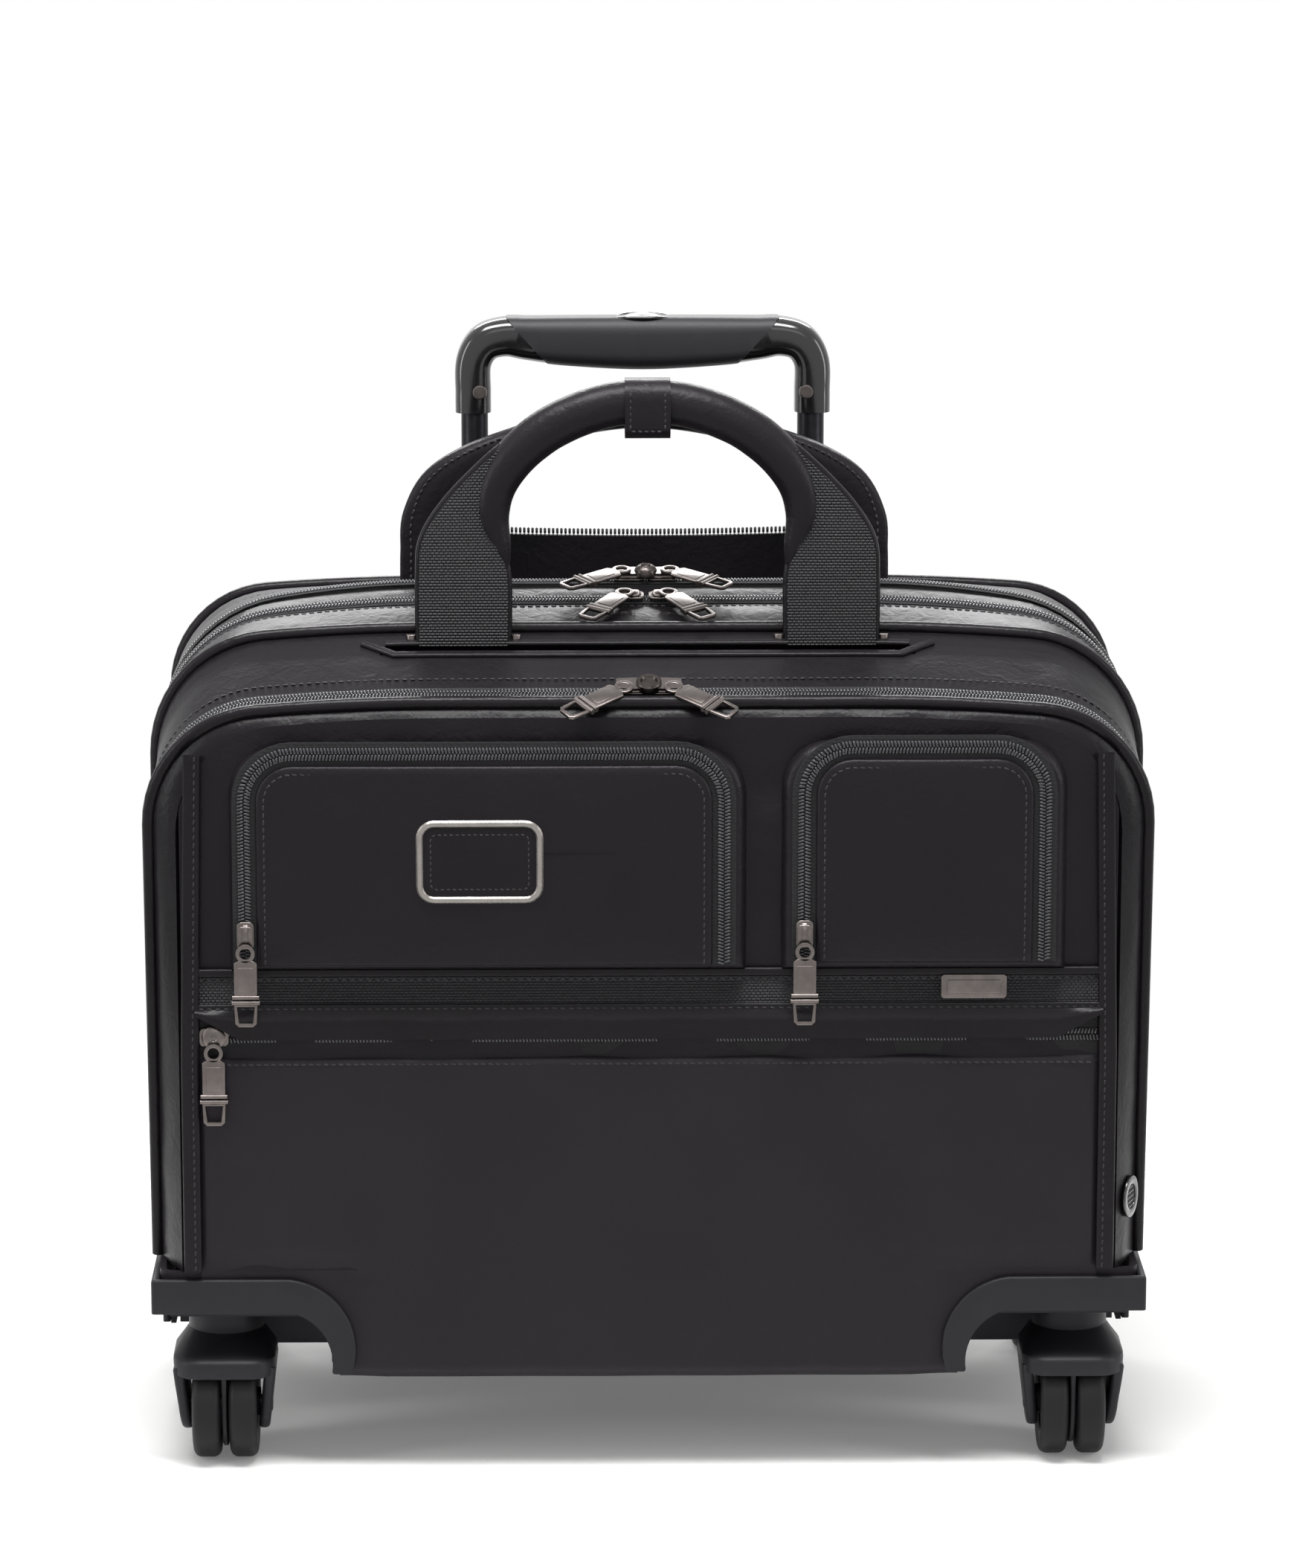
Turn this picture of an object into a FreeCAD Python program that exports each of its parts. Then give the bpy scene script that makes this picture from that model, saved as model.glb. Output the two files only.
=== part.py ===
import FreeCAD, Part
import math
import os

from FreeCAD import Vector

# Rolling laptop case. Millimetres, +X to the right seen from the front, front at -Y, floor at z = 0.

# Body of the case
body_width = 436.0          # between the gusset's outer faces
front_y = -108.0
back_y = 118.0
body_bottom = 45.0
wall = 4.0                  # padded leather and its board
crown_flat = 92.0           # half of the flat length on top
top_line = [                # y, top height, shoulder radius, crown angle in degrees
    (-108.0, 345.0, 50.0, 5.0),
    (-50.0, 371.0, 52.0, 5.0),
    (1.0, 383.0, 62.0, 10.0),
    (118.0, 361.0, 45.0, 4.0),
]
fold_z = 92.0               # where the front folds open, just above the corner guards
fold_gap = 0.4
panel_depth = 8.0           # front panel at the top, from its face to its zip
panel_depth_low = 32.0      # the same at the fold: the panel's sides widen downwards
panel_face_half = 208.0     # its face is narrower than the edge piping
panel_top_z = 345.0
section_back_y = -5.0       # rear edge of the front section

# Wheel wells, corner guards and casters
well_length = 78.0          # along y, from the front or back face
well_inner_x = 141.0
well_ceiling = 70.0
guard_bottom = 73.0
guard_top = 89.0
guard_thickness = 3.5
guard_straight = 60.0       # from the corner to where the band turns down
guard_reach = 76.5          # from the corner to the inside of its foot
guard_foot = 9.0
caster_side_inset = 28.0    # kingpin from the case's side
caster_front_inset = 34.0   # kingpin from the case's front
caster_back_inset = 32.0
caster_trail = 12.0
wheel_radius = 25.0
wheel_width = 12.5
wheel_gap = 4.0             # between the two wheels of a pair
wheel_bore = 3.08
axle_radius = 3.0
fork_width = 46.0
fork_leg = 5.7
fork_top = 56.7
socket_radius = 17.0
kingpin_radius = 5.0
pin_clearance = 0.05

# Trolley handle
tube_x = 78.0
tube_back_inset = 23.0      # tube centres from the back of the case
inner_tube_radius = 6.2
tube_wall = 1.4
tube_clearance = 0.1
outer_tube_bottom = 56.0
bezel_top = 346.0
bezel_thickness = 6.0
bay_depth = 56.0            # from the wall in front of the tubes to the back of the case
bay_mouth_half = 125.0
bay_lip_top = 397.0         # the open zip's flap stands up behind the rear handle
bay_lip_half = 97.0
inner_tube_bottom = 161.0
grip_half = 86.8
grip_top = 491.0
grip_bottom = 467.0
grip_leg_bottom = 447.0
grip_leg_width = 16.5
grip_depth = 20.0
grip_socket_depth = 12.0
button_half = 12.5
button_depth = 14.0
button_travel = 3.0

# Carry handles
front_handle_y = -57.0
front_handle_axis_z = 371.4
front_strap_x = 81.5
front_strap_width = 39.0
front_grip_radius = 9.8
front_grip_z = 474.0
rear_handle_y = 45.0
rear_handle_axis_z = 377.7
rear_strap_x = 104.0
rear_strap_width = 22.0
rear_grip_radius = 7.5
rear_grip_z = 451.0

# Front face
pocket_bottom = 231.0
pocket_depth = 8.0
pocket_gusset = 15.0        # beside the right flap
flap_thickness = 1.5
left_flap = (-172.0, 27.5, 234.0, 323.5)
right_flap = (73.0, 168.0, 235.0, 326.0)
flap_radius = 16.0
zip_thickness = 1.2
band_half = 202.0
band_bottom = 211.0
band_top = 231.0
band_thickness = 3.0
lower_panel_top = 191.0
lower_zip_z = 200.0
zip_width = 7.0
second_zip_y = -19.0
second_piping_y = -50.0
main_zip_y = 1.5
piping_radius = 2.8
slip_front_y = -67.0
slip_back_y = -61.0
slip_half = 118.0
running_gap = 0.3
seam_gap = 0.1              # between a zip and the curved leather under it
pull_swing_gap = 0.9        # lets a hanging pull swing past its slider
pull_length = 37.0
pull_width = 11.5
pull_thickness = 1.6

drape_angles = {"front": 38.0, "second": 58.0, "main": 38.0}  # how far the top pulls slew forward
lock_rise = 1.6             # the main pulls hang this much higher, clear of the second zip's sliders

half = body_width / 2
caster_x = half - caster_side_inset
caster_front_y = front_y + caster_front_inset
caster_back_y = back_y - caster_back_inset
tube_y = back_y - tube_back_inset
bay_wall_y = back_y - bay_depth


def save(name, solids):
    os.makedirs("parts", exist_ok=True)
    shape = solids[0] if len(solids) == 1 else Part.makeCompound(solids)
    shape.exportStep("parts/" + name + ".step")


def box(x0, x1, y0, y1, z0, z1):
    return Part.makeBox(x1 - x0, y1 - y0, z1 - z0, Vector(x0, y0, z0))


def rod(radius, start, end):
    along = Vector(*end) - Vector(*start)
    return Part.makeCylinder(radius, along.Length, Vector(*start), along)


def mirrored(shape):
    return shape.mirror(Vector(0, 0, 0), Vector(1, 0, 0))


def station(y):
    """Top height, shoulder radius and crown angle of the case at depth y."""
    for a, b in zip(top_line, top_line[1:]):
        if y <= b[0] or b is top_line[-1]:
            t = (y - a[0]) / (b[0] - a[0])
            return [p + (q - p) * t for p, q in zip(a[1:], b[1:])]


def top_z(y):
    return station(y)[0]


def outline_edges(y, inset, z_low):
    """Edges of the case's outline at depth y, up the right side, over the top and down the left."""
    top, shoulder, angle = station(y)
    tilt = math.radians(angle)
    w, top, small = half - inset, top - inset, shoulder - inset
    large = (w - crown_flat - small * (1 - math.sin(tilt))) / math.sin(tilt)
    centre_z = top - large * (1 - math.cos(tilt)) - small * math.cos(tilt)
    steep = (math.pi / 2 - tilt) / 2

    def point(x, z):
        return Vector(x, y, z)

    knee = (w - small + small * math.sin(tilt), centre_z + small * math.cos(tilt))
    bend = (w - small + small * math.cos(steep), centre_z + small * math.sin(steep))
    crown = (crown_flat + large * math.sin(tilt / 2), top - large * (1 - math.cos(tilt / 2)))
    edges = [Part.LineSegment(point(w, z_low), point(w, centre_z)).toShape(),
             Part.Arc(point(w, centre_z), point(*bend), point(*knee)).toShape(),
             Part.Arc(point(*knee), point(*crown), point(crown_flat, top)).toShape(),
             Part.LineSegment(point(crown_flat, top), point(-crown_flat, top)).toShape(),
             Part.Arc(point(-crown_flat, top), point(-crown[0], crown[1]),
                      point(-knee[0], knee[1])).toShape(),
             Part.Arc(point(-knee[0], knee[1]), point(-bend[0], bend[1]),
                      point(-w, centre_z)).toShape(),
             Part.LineSegment(point(-w, centre_z), point(-w, z_low)).toShape()]
    return edges, point(-w, z_low), point(w, z_low)


def outline(y, inset, z_low):
    edges, last, first = outline_edges(y, inset, z_low)
    return Part.Wire(edges + [Part.LineSegment(last, first).toShape()])


def crowned(y0, y1, inset, z_low):
    """Solid with the case's outline from y0 to y1, its faces moved in by inset."""
    inner = [s[0] for s in top_line if y0 < s[0] < y1]
    return Part.makeLoft([outline(y, inset, z_low) for y in [y0] + inner + [y1]], True, True)


def crowned_ring(y0, y1, thickness, z_low, floor=0.0):
    """Band of the gusset; with a floor it is closed below."""
    hollow = crowned(y0 - 1, y1 + 1, thickness, z_low + floor if floor else z_low - 1)
    return crowned(y0, y1, 0, z_low).cut(hollow)


def zip_band(y, z_low, gusset_from, gusset_to):
    """Coil zip laid on the gusset that runs between the two given depths."""
    y0, y1 = y - zip_width / 2, y + zip_width / 2
    return crowned(y0, y1, -zip_thickness, z_low).cut(crowned(gusset_from, gusset_to, -seam_gap, z_low - 1))


def piping(y, z_low, lean=0.0):
    """Cord sewn along the edge of the case, as a tube on its outline; lean tips it back."""
    edges, last, first = outline_edges(y, -1.0, z_low)
    section = Part.Wire(Part.makeCircle(piping_radius, first, Vector(0, 0, 1)))
    cord = Part.Wire(edges).makePipeShell([section], True, True)
    if lean:
        cord.rotate(Vector(0, y, top_z(y)), Vector(1, 0, 0), lean)
    reach = 2 * piping_radius + (top_z(y) - z_low) * math.tan(math.radians(lean))
    return cord.cut(crowned(max(front_y, y - 2 * piping_radius), min(back_y, y + reach), 0, z_low - 5))


def panel_back(z):
    """Depth of the slanted plane between the front panel and the front section, at height z."""
    rise = (z - fold_z) / (panel_top_z - fold_z)
    return front_y + panel_depth_low + (panel_depth - panel_depth_low) * rise


panel_lean = math.degrees(math.atan2(panel_depth_low - panel_depth, panel_top_z - fold_z))


def slanted(behind_from, behind_to):
    """Wide slab between two planes parallel to the back of the front panel."""
    low, high = fold_z - 10, top_line[-1][1] + 40
    shape = [(panel_back(low) + behind_from, low), (panel_back(low) + behind_to, low),
             (panel_back(high) + behind_to, high), (panel_back(high) + behind_from, high)]
    return profile(shape, -half - 20, half + 20, "yz")


def rounded_plate(x0, x1, z0, z1, radius, y0, y1):
    """Upright plate with its corners rounded."""
    plate = box(x0, x1, y0, y1, z0, z1)
    corners = [e for e in plate.Edges
               if abs(e.Vertexes[0].Z - e.Vertexes[1].Z) < 1e-6 and abs(e.Vertexes[0].X - e.Vertexes[1].X) < 1e-6]
    return plate.makeFillet(radius, corners)


def profile(points, depth_from, depth_to, plane):
    """Extrude a closed outline of corner points and (mid, end) arcs along the plane's normal."""
    def place(p):
        return Vector(p[0], depth_from, p[1]) if plane == "xz" else Vector(depth_from, p[0], p[1])
    edges, here = [], points[0]
    for step in points[1:] + [points[0]]:
        if len(step) == 4:
            mid, end = step[:2], step[2:]
            edges.append(Part.Arc(place(here), place(mid), place(end)).toShape())
        else:
            end = step
            edges.append(Part.LineSegment(place(here), place(end)).toShape())
        here = end
    span = depth_to - depth_from
    along = Vector(0, span, 0) if plane == "xz" else Vector(span, 0, 0)
    return Part.Face(Part.Wire(edges)).extrude(along)


def corners():
    """The four corners: sign of x, y of the face, direction into the case."""
    return [(side, face, inward) for face, inward in ((front_y, 1), (back_y, -1)) for side in (-1, 1)]


def well_box(side, face, inward, grow, z0, z1):
    xs = sorted((side * (well_inner_x - grow), side * (half + 5)))
    ys = sorted((face - inward * 5, face + inward * (well_length + grow)))
    return box(xs[0], xs[1], ys[0], ys[1], z0, z1)


# Case: base, gussets and back
def base_pan():
    inset = wall + running_gap
    plate, rim, well_wall = 4.0, 4.0, 3.0
    top = well_ceiling + 4
    x, y0, y1 = half - inset, front_y + inset, back_y - inset
    pan = box(-x, x, y0, y1, body_bottom, top)
    hollow = box(-x + rim, x - rim, y0 + rim, y1 - rim, body_bottom + plate, top + 1)
    for corner in corners():
        hollow = hollow.cut(well_box(*corner, well_wall, body_bottom, top + 1))
    pan = pan.cut(hollow)
    for corner in corners():
        pan = pan.cut(well_box(*corner, 0, body_bottom - 1, well_ceiling))
    return pan


def lower_gusset():
    outer = box(-half, half, front_y, back_y, body_bottom, fold_z)
    shell = outer.cut(box(-half + wall, half - wall, front_y + wall, back_y - wall,
                          body_bottom - 1, fold_z + 1))
    for corner in corners():
        shell = shell.cut(well_box(*corner, 0, body_bottom - 1, guard_bottom))
    return shell


def rear_gusset():
    y0 = section_back_y + fold_gap
    ring = crowned_ring(y0, back_y - wall, wall, fold_z)
    mouth = box(-bay_mouth_half, bay_mouth_half, bay_wall_y + 3, back_y - wall + 1,
                bezel_top, top_z(bay_wall_y) + 5)
    return ring.cut(mouth)


def back_panel():
    return crowned(back_y - wall, back_y, 0, fold_z)


def bay_wall():
    """Wall in front of the trolley tubes; its top edge carries the open half of a zip."""
    lower = crowned(bay_wall_y, bay_wall_y + 3, wall, fold_z)
    foot = box(-half + wall, half - wall, bay_wall_y, bay_wall_y + 3, body_bottom + 4, fold_z)
    for corner in corners():
        foot = foot.cut(well_box(*corner, 3, body_bottom, well_ceiling + 4))
    rim = half - wall - running_gap - 4.0
    foot = foot.common(box(-rim, rim, 0, back_y, 0, fold_z))
    upper = box(-half + wall, half - wall, bay_wall_y, bay_wall_y + 3, well_ceiling + 4, fold_z)
    root, foot_half = top_z(bay_wall_y), bay_lip_half + 15
    flap = [(-foot_half, root - 24), (foot_half, root - 24), (foot_half, root - 2), (bay_lip_half, bay_lip_top),
            (-bay_lip_half, bay_lip_top), (-foot_half, root - 2)]
    lip = profile(flap, bay_wall_y + 3, bay_wall_y + 5, "xz")
    return lower.fuse([foot, upper, lip]).removeSplitter()


def laptop_divider():
    y = 30.0
    return rounded_plate(-190, 190, body_bottom + 4, 320, 20, y, y + 6)


def corner_guard(side, face, inward):
    """Moulded band round a lower corner, with a leg along the face and one along the side."""
    low, high, out = guard_bottom, guard_top, guard_thickness
    reach, foot = guard_reach, guard_reach + guard_foot
    band = [(-out, low), (guard_straight, low), (reach - 5, low - 8, reach, body_bottom),
            (foot, body_bottom), (foot - 5.5, high - 12, guard_straight - 2, high), (-out, high)]

    def moved(points, origin, way):
        return [tuple(origin + way * v if i % 2 == 0 else v for i, v in enumerate(p)) for p in points]

    front_leg = profile(moved(band, side * half, -side), face - inward * out, face, "xz")
    side_leg = profile(moved(band, face, inward), side * half, side * (half + out), "yz")
    xs = sorted((side * half, side * (half + out)))
    ys = sorted((face - inward * out, face))
    post = box(xs[0], xs[1], ys[0], ys[1], low, high)
    return front_leg.fuse([side_leg, post]).removeSplitter()


def caster_places():
    return [("front_left", -caster_x, caster_front_y), ("front_right", caster_x, caster_front_y),
            ("rear_left", -caster_x, caster_back_y), ("rear_right", caster_x, caster_back_y)]


def caster_socket(x, y):
    boss = rod(socket_radius, (x, y, fork_top + running_gap), (x, y, well_ceiling))
    bore = rod(kingpin_radius + pin_clearance, (x, y, fork_top - 1), (x, y, well_ceiling - 1))
    return boss.cut(bore)


def caster_fork(x, y):
    """Fork with its kingpin, and the axle as a second solid."""
    axle_y, axle_z = y - caster_trail, wheel_radius
    top, under = fork_top - 3.5, 2 * wheel_radius + 0.6
    crown = rod(socket_radius - 1.5, (x, y, under), (x, y, fork_top))
    kingpin = rod(kingpin_radius, (x, y, fork_top - 1), (x, y, well_ceiling - 2))
    edge = fork_width / 2
    hood = box(x - edge, x + edge, axle_y - 11, y + 12, under, top)
    leg = [(y + 12, top), (y + 12, under - 7), (axle_y + 12, axle_z), (axle_y, axle_z - 12.5, axle_y - 12, axle_z),
           (axle_y - 14, under - 5), (axle_y - 11, top)]
    legs = [profile(leg, x + s * (edge - fork_leg), x + s * edge, "yz") for s in (-1, 1)]
    hole = rod(axle_radius, (x - edge - 1, axle_y, axle_z), (x + edge + 1, axle_y, axle_z))
    axle = rod(axle_radius, (x - edge, axle_y, axle_z), (x + edge, axle_y, axle_z))
    body = crown.fuse([kingpin, hood] + legs).removeSplitter().cut(hole)
    return [body, axle]


def wheel_pair(x, y):
    axle_y, wheels = y - caster_trail, []
    for s in (-1, 1):
        inner, outer = wheel_gap / 2, wheel_gap / 2 + wheel_width
        hub_end = fork_width / 2 - fork_leg - running_gap
        tyre = rod(wheel_radius, (x + s * inner, axle_y, wheel_radius), (x + s * outer, axle_y, wheel_radius))
        rims = [e for e in tyre.Edges if e.Curve.TypeId == "Part::GeomCircle"]
        tyre = tyre.makeFillet(2.0, rims)
        hub = rod(6.5, (x + s * running_gap / 2, axle_y, wheel_radius), (x + s * hub_end, axle_y, wheel_radius))
        bore = rod(wheel_bore, (x - fork_width, axle_y, wheel_radius), (x + fork_width, axle_y, wheel_radius))
        wheels.append(tyre.fuse(hub).removeSplitter().cut(bore))
    return wheels


# Trolley handle
middle_tube_radius = inner_tube_radius + tube_clearance + tube_wall
outer_tube_radius = middle_tube_radius + tube_clearance + tube_wall


def tube_pair(radius, hollow, z0, z1):
    return [rod(radius, (s * tube_x, tube_y, z0), (s * tube_x, tube_y, z1)).cut(
        rod(hollow, (s * tube_x, tube_y, z0 - 1), (s * tube_x, tube_y, z1 + 1))) for s in (-1, 1)]


def tube_bezel():
    plate = box(-100, 100, bay_wall_y + 3, back_y - wall, bezel_top - bezel_thickness, bezel_top)
    for s in (-1, 1):
        plate = plate.cut(rod(middle_tube_radius + tube_clearance, (s * tube_x, tube_y, bezel_top - 20),
                              (s * tube_x, tube_y, bezel_top + 1)))
    return plate


def tube_bracket():
    """Moulded block on the base that holds the feet of the outer tubes."""
    rim = back_y - wall - running_gap - 4.0
    block = box(-105, 105, 80, rim, body_bottom + 4, outer_tube_bottom + 12)
    for s in (-1, 1):
        block = block.cut(rod(outer_tube_radius, (s * tube_x, tube_y, outer_tube_bottom),
                              (s * tube_x, tube_y, outer_tube_bottom + 13)))
    return block


def grip_elbow(side):
    leg_in = grip_half - grip_leg_width
    shape = [(side * grip_half, grip_leg_bottom), (side * leg_in, grip_leg_bottom),
             (side * leg_in, grip_bottom - 5), (side * 63, grip_bottom + 3), (side * 44.5, grip_top),
             (side * (grip_half - 11), grip_top),
             (side * (grip_half - 3.2), grip_top - 3.2, side * grip_half, grip_top - 11)]
    elbow = profile(shape, tube_y - grip_depth / 2, tube_y + grip_depth / 2, "xz")
    socket = rod(inner_tube_radius + 0.05, (side * tube_x, tube_y, grip_leg_bottom - 1),
                 (side * tube_x, tube_y, grip_leg_bottom + grip_socket_depth))
    screw_hole = rod(2.5, (side * 75.5, tube_y - grip_depth / 2 - 1, 457), (side * 75.5, tube_y - grip_depth / 2 + 2, 457))
    return elbow.cut(socket).cut(screw_hole)


def grip_screw(side):
    face = tube_y - grip_depth / 2
    return rod(2.5, (side * 75.5, face + 0.5, 457), (side * 75.5, face + 2, 457))


def grip_core():
    shape = [(-44.5, grip_top), (-63, grip_bottom + 3), (0, grip_bottom, 63, grip_bottom + 3), (44.5, grip_top)]
    core = profile(shape, tube_y - grip_depth / 2 - 1, tube_y + grip_depth / 2 + 1, "xz")
    gap = running_gap
    pocket = box(-button_half - gap, button_half + gap, tube_y - button_depth / 2 - gap,
                 tube_y + button_depth / 2 + gap, grip_top - 9, grip_top + 1)
    return core.cut(pocket)


def push_button():
    """Lens-shaped button that stands a little proud of the grip."""
    bottom = grip_top - 9 + button_travel + 0.5
    body = box(-button_half, button_half, tube_y - button_depth / 2, tube_y + button_depth / 2, bottom, grip_top + 1)
    dome_radius = 90.0
    dome = rod(dome_radius, (0, tube_y - 20, grip_top + 1 - dome_radius), (0, tube_y + 20, grip_top + 1 - dome_radius))
    return body.common(dome)


# Carry handles
def swept_arc(points, radius, y):
    """Round bar along runs joined by tangent arcs, in an upright plane."""
    corners_in = [Vector(px, y, pz) for px, pz in points]
    edges, here = [], corners_in[0]
    for before, at, after in zip(corners_in, corners_in[1:], corners_in[2:]):
        back, ahead = (before - at).normalize(), (after - at).normalize()
        reach = 0.45 * min((before - at).Length, (after - at).Length)
        start, end = at + back * reach, at + ahead * reach
        turn = math.acos(max(-1, min(1, -(back * ahead))))
        arc_radius = reach / math.tan(turn / 2)
        middle = (back + ahead).normalize()
        mid = at + middle * (arc_radius / math.cos(turn / 2) - arc_radius)
        edges += [Part.LineSegment(here, start).toShape(), Part.Arc(start, mid, end).toShape()]
        here = end
    edges.append(Part.LineSegment(here, corners_in[-1]).toShape())
    normal = (corners_in[1] - corners_in[0]).normalize()
    section = Part.Wire(Part.makeCircle(radius, corners_in[0], normal))
    return Part.Wire(edges).makePipeShell([section], True, True)


def handle(y, strap_x, strap_width, strap_z, grip_z, radius, route):
    left = [(-x, z) for x, z in route]
    right = [(x, z) for x, z in reversed(route)]
    grip = swept_arc(left + [(-20, grip_z), (20, grip_z)] + right, radius, y)
    thick, top = 3.6, route[0][1] + 8
    straps = [box(s * strap_x - strap_width / 2, s * strap_x + strap_width / 2, y - thick / 2, y + thick / 2,
                  strap_z, top) for s in (-1, 1)]
    return grip.fuse(straps).removeSplitter()


def front_handle():
    route = [(front_strap_x, 404), (front_strap_x - 5, 431), (front_strap_x - 26, 458), (34, 471)]
    return handle(front_handle_y, front_strap_x, front_strap_width, front_handle_axis_z - 1.3,
                  front_grip_z, front_grip_radius, route)


def rear_handle():
    route = [(rear_strap_x, 404), (rear_strap_x - 7, 421), (rear_strap_x - 29, 442), (48, 449)]
    return handle(rear_handle_y, rear_strap_x - 2, rear_strap_width, rear_handle_axis_z - 2.3,
                  rear_grip_z, rear_grip_radius, route)


def handle_studs():
    """Half-round metal tabs beside the front handle's straps."""
    studs = []
    for s in (-1, 1):
        for edge in (-1, 1):
            x = s * front_strap_x + edge * (front_strap_width / 2 + 3.5)
            z = top_z(front_handle_y)
            stud = rod(2.6, (x, front_handle_y, z - 3), (x, front_handle_y, z + 2.5))
            studs.append(stud.cut(crowned(front_handle_y - 8, front_handle_y + 8, 0, fold_z)))
    return studs


# Front section
def section_gusset():
    ring = crowned_ring(front_y, section_back_y, wall, fold_z + fold_gap, wall)
    ring = ring.cut(slanted(-100, fold_gap))
    slot = box(-slip_half, slip_half, slip_front_y, slip_back_y, fold_z + 60, top_z(slip_back_y) + 5)
    return ring.cut(slot)


def slip_pocket_walls():
    low = fold_z + fold_gap + wall
    front = crowned(slip_front_y - 2.5, slip_front_y, wall, low)
    back = crowned(slip_back_y, slip_back_y + 2.5, wall, low)
    return [front, back]


def front_zip():
    y1 = front_y + panel_depth_low + 20
    band = crowned(front_y, y1, -zip_thickness, fold_z + fold_gap).cut(
        crowned(front_y - 1, y1 + 1, 0, fold_z - 1))
    return band.common(slanted(fold_gap + 0.6, fold_gap + 0.6 + zip_width))


# Front panel
def panel_side_cut(side):
    """What the slanted side of the front panel leaves out, from the fold to the shoulder."""
    wires = []
    for z, face in ((fold_z - 1, panel_face_half), (panel_top_z - 15, half - 4)):
        corners_xy = [(face, front_y - 0.01), (half + 1, front_y - 0.01), (half + 1, panel_back(z) - 6)]
        points = [Vector(side * x, y, z) for x, y in corners_xy]
        wires.append(Part.makePolygon(points + [points[0]]))
    return Part.makeLoft(wires, True, True)


def front_panel():
    low = fold_z + 2 * fold_gap
    y1 = front_y + panel_depth_low + 4
    tray = crowned(front_y, y1, 0, low).common(slanted(-100, 0))
    tray = tray.cut(crowned(front_y + wall, y1 + 1, wall + 8, low + wall))
    for side in (-1, 1):
        tray = tray.cut(panel_side_cut(side))
    return tray


def drain_eyelet():
    """Ring in the right side of the front panel, square to that slanted side."""
    z = 122.0
    t = (z - fold_z) / (panel_top_z - 15 - fold_z)
    face = panel_face_half + (half - 4 - panel_face_half) * t
    start, end = Vector(face, front_y, z), Vector(half + 1, panel_back(z) - 6, z)
    along = end - start
    normal = Vector(along.y, -along.x, 0).normalize()
    centre = start + along * 0.5 + normal * 0.35
    ring = Part.makeCylinder(9.5, 1.5, centre, normal)
    return ring.cut(Part.makeCylinder(5.6, 4, centre - normal, normal))


def pocket_bodies():
    left = (left_flap[0] - 12, left_flap[1] + pocket_gusset, pocket_bottom, left_flap[3] + 7)
    right = (right_flap[0] - pocket_gusset, right_flap[1] + pocket_gusset, pocket_bottom, right_flap[3] + 7)
    return [rounded_plate(*size, flap_radius + 4, front_y - pocket_depth, front_y) for size in (left, right)]


def pocket_flaps():
    """The two flaps and the stitched patch on the left one."""
    y1 = front_y - pocket_depth
    flaps = [rounded_plate(*size, flap_radius, y1 - flap_thickness, y1) for size in (left_flap, right_flap)]
    x0, x1, z0, z1 = patch_place()
    patch = rounded_plate(x0 + 3, x1 - 3, z0 + 3, z1 - 3, 3, y1 - flap_thickness - 1.0, y1 - flap_thickness)
    return flaps + [patch]


def patch_place():
    return (-102.0, -46.4, 262.8, 300.0)


def metal_trim():
    """Rectangular frame round the patch, and the blank name plate on the trim band."""
    x0, x1, z0, z1 = patch_place()
    y1 = front_y - pocket_depth - flap_thickness
    frame = rounded_plate(x0, x1, z0, z1, 5, y1 - 1.8, y1).cut(
        rounded_plate(x0 + 3, x1 - 3, z0 + 3, z1 - 3, 3, y1 - 3, y1 + 1))
    y2 = front_y - band_thickness
    plate = rounded_plate(128.5, 157.5, 217, 228, 1.5, y2 - 1.2, y2)
    return [frame, plate]


def panel_zips():
    """Coil zips round the two flaps, and the straight one of the lower pocket."""
    y1 = front_y - pocket_depth
    zips = []
    for x0, x1, z0, z1 in (left_flap, right_flap):
        outer = rounded_plate(x0 - 9.5, x1 + 9.5, z0, z1 + 6.5, flap_radius + 3, y1 - zip_thickness, y1)
        inner = rounded_plate(x0 - 0.5, x1 + 0.5, z0 - 20, z1 + 0.5, flap_radius, y1 - 5, y1 + 1)
        zips.append(outer.cut(inner))
    half_zip = zip_width / 2
    zips.append(box(-band_half + 3, band_half - 3, front_y - zip_thickness, front_y,
                    lower_zip_z - half_zip, lower_zip_z + half_zip))
    return zips


def trim_band():
    return box(-band_half, band_half, front_y - band_thickness, front_y, band_bottom, band_top)


def band_lip():
    """Leather lip under the trim band that hangs over the lower zip."""
    y0 = front_y - band_thickness
    lip = [(-band_half + 2, band_bottom), (-band_half + 22, 199), (band_half - 22, 199), (band_half - 2, band_bottom)]
    sheet = profile(lip, y0 - 3.2, y0 - 2.0, "xz")
    root = box(-band_half + 2, band_half - 2, y0 - 3.2, y0, band_bottom, band_bottom + 3)
    return sheet.fuse(root).removeSplitter()


def lower_panel():
    return box(-band_half + 3, band_half - 3, front_y - 3.0, front_y, fold_z + 2 * fold_gap, lower_panel_top)


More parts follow.
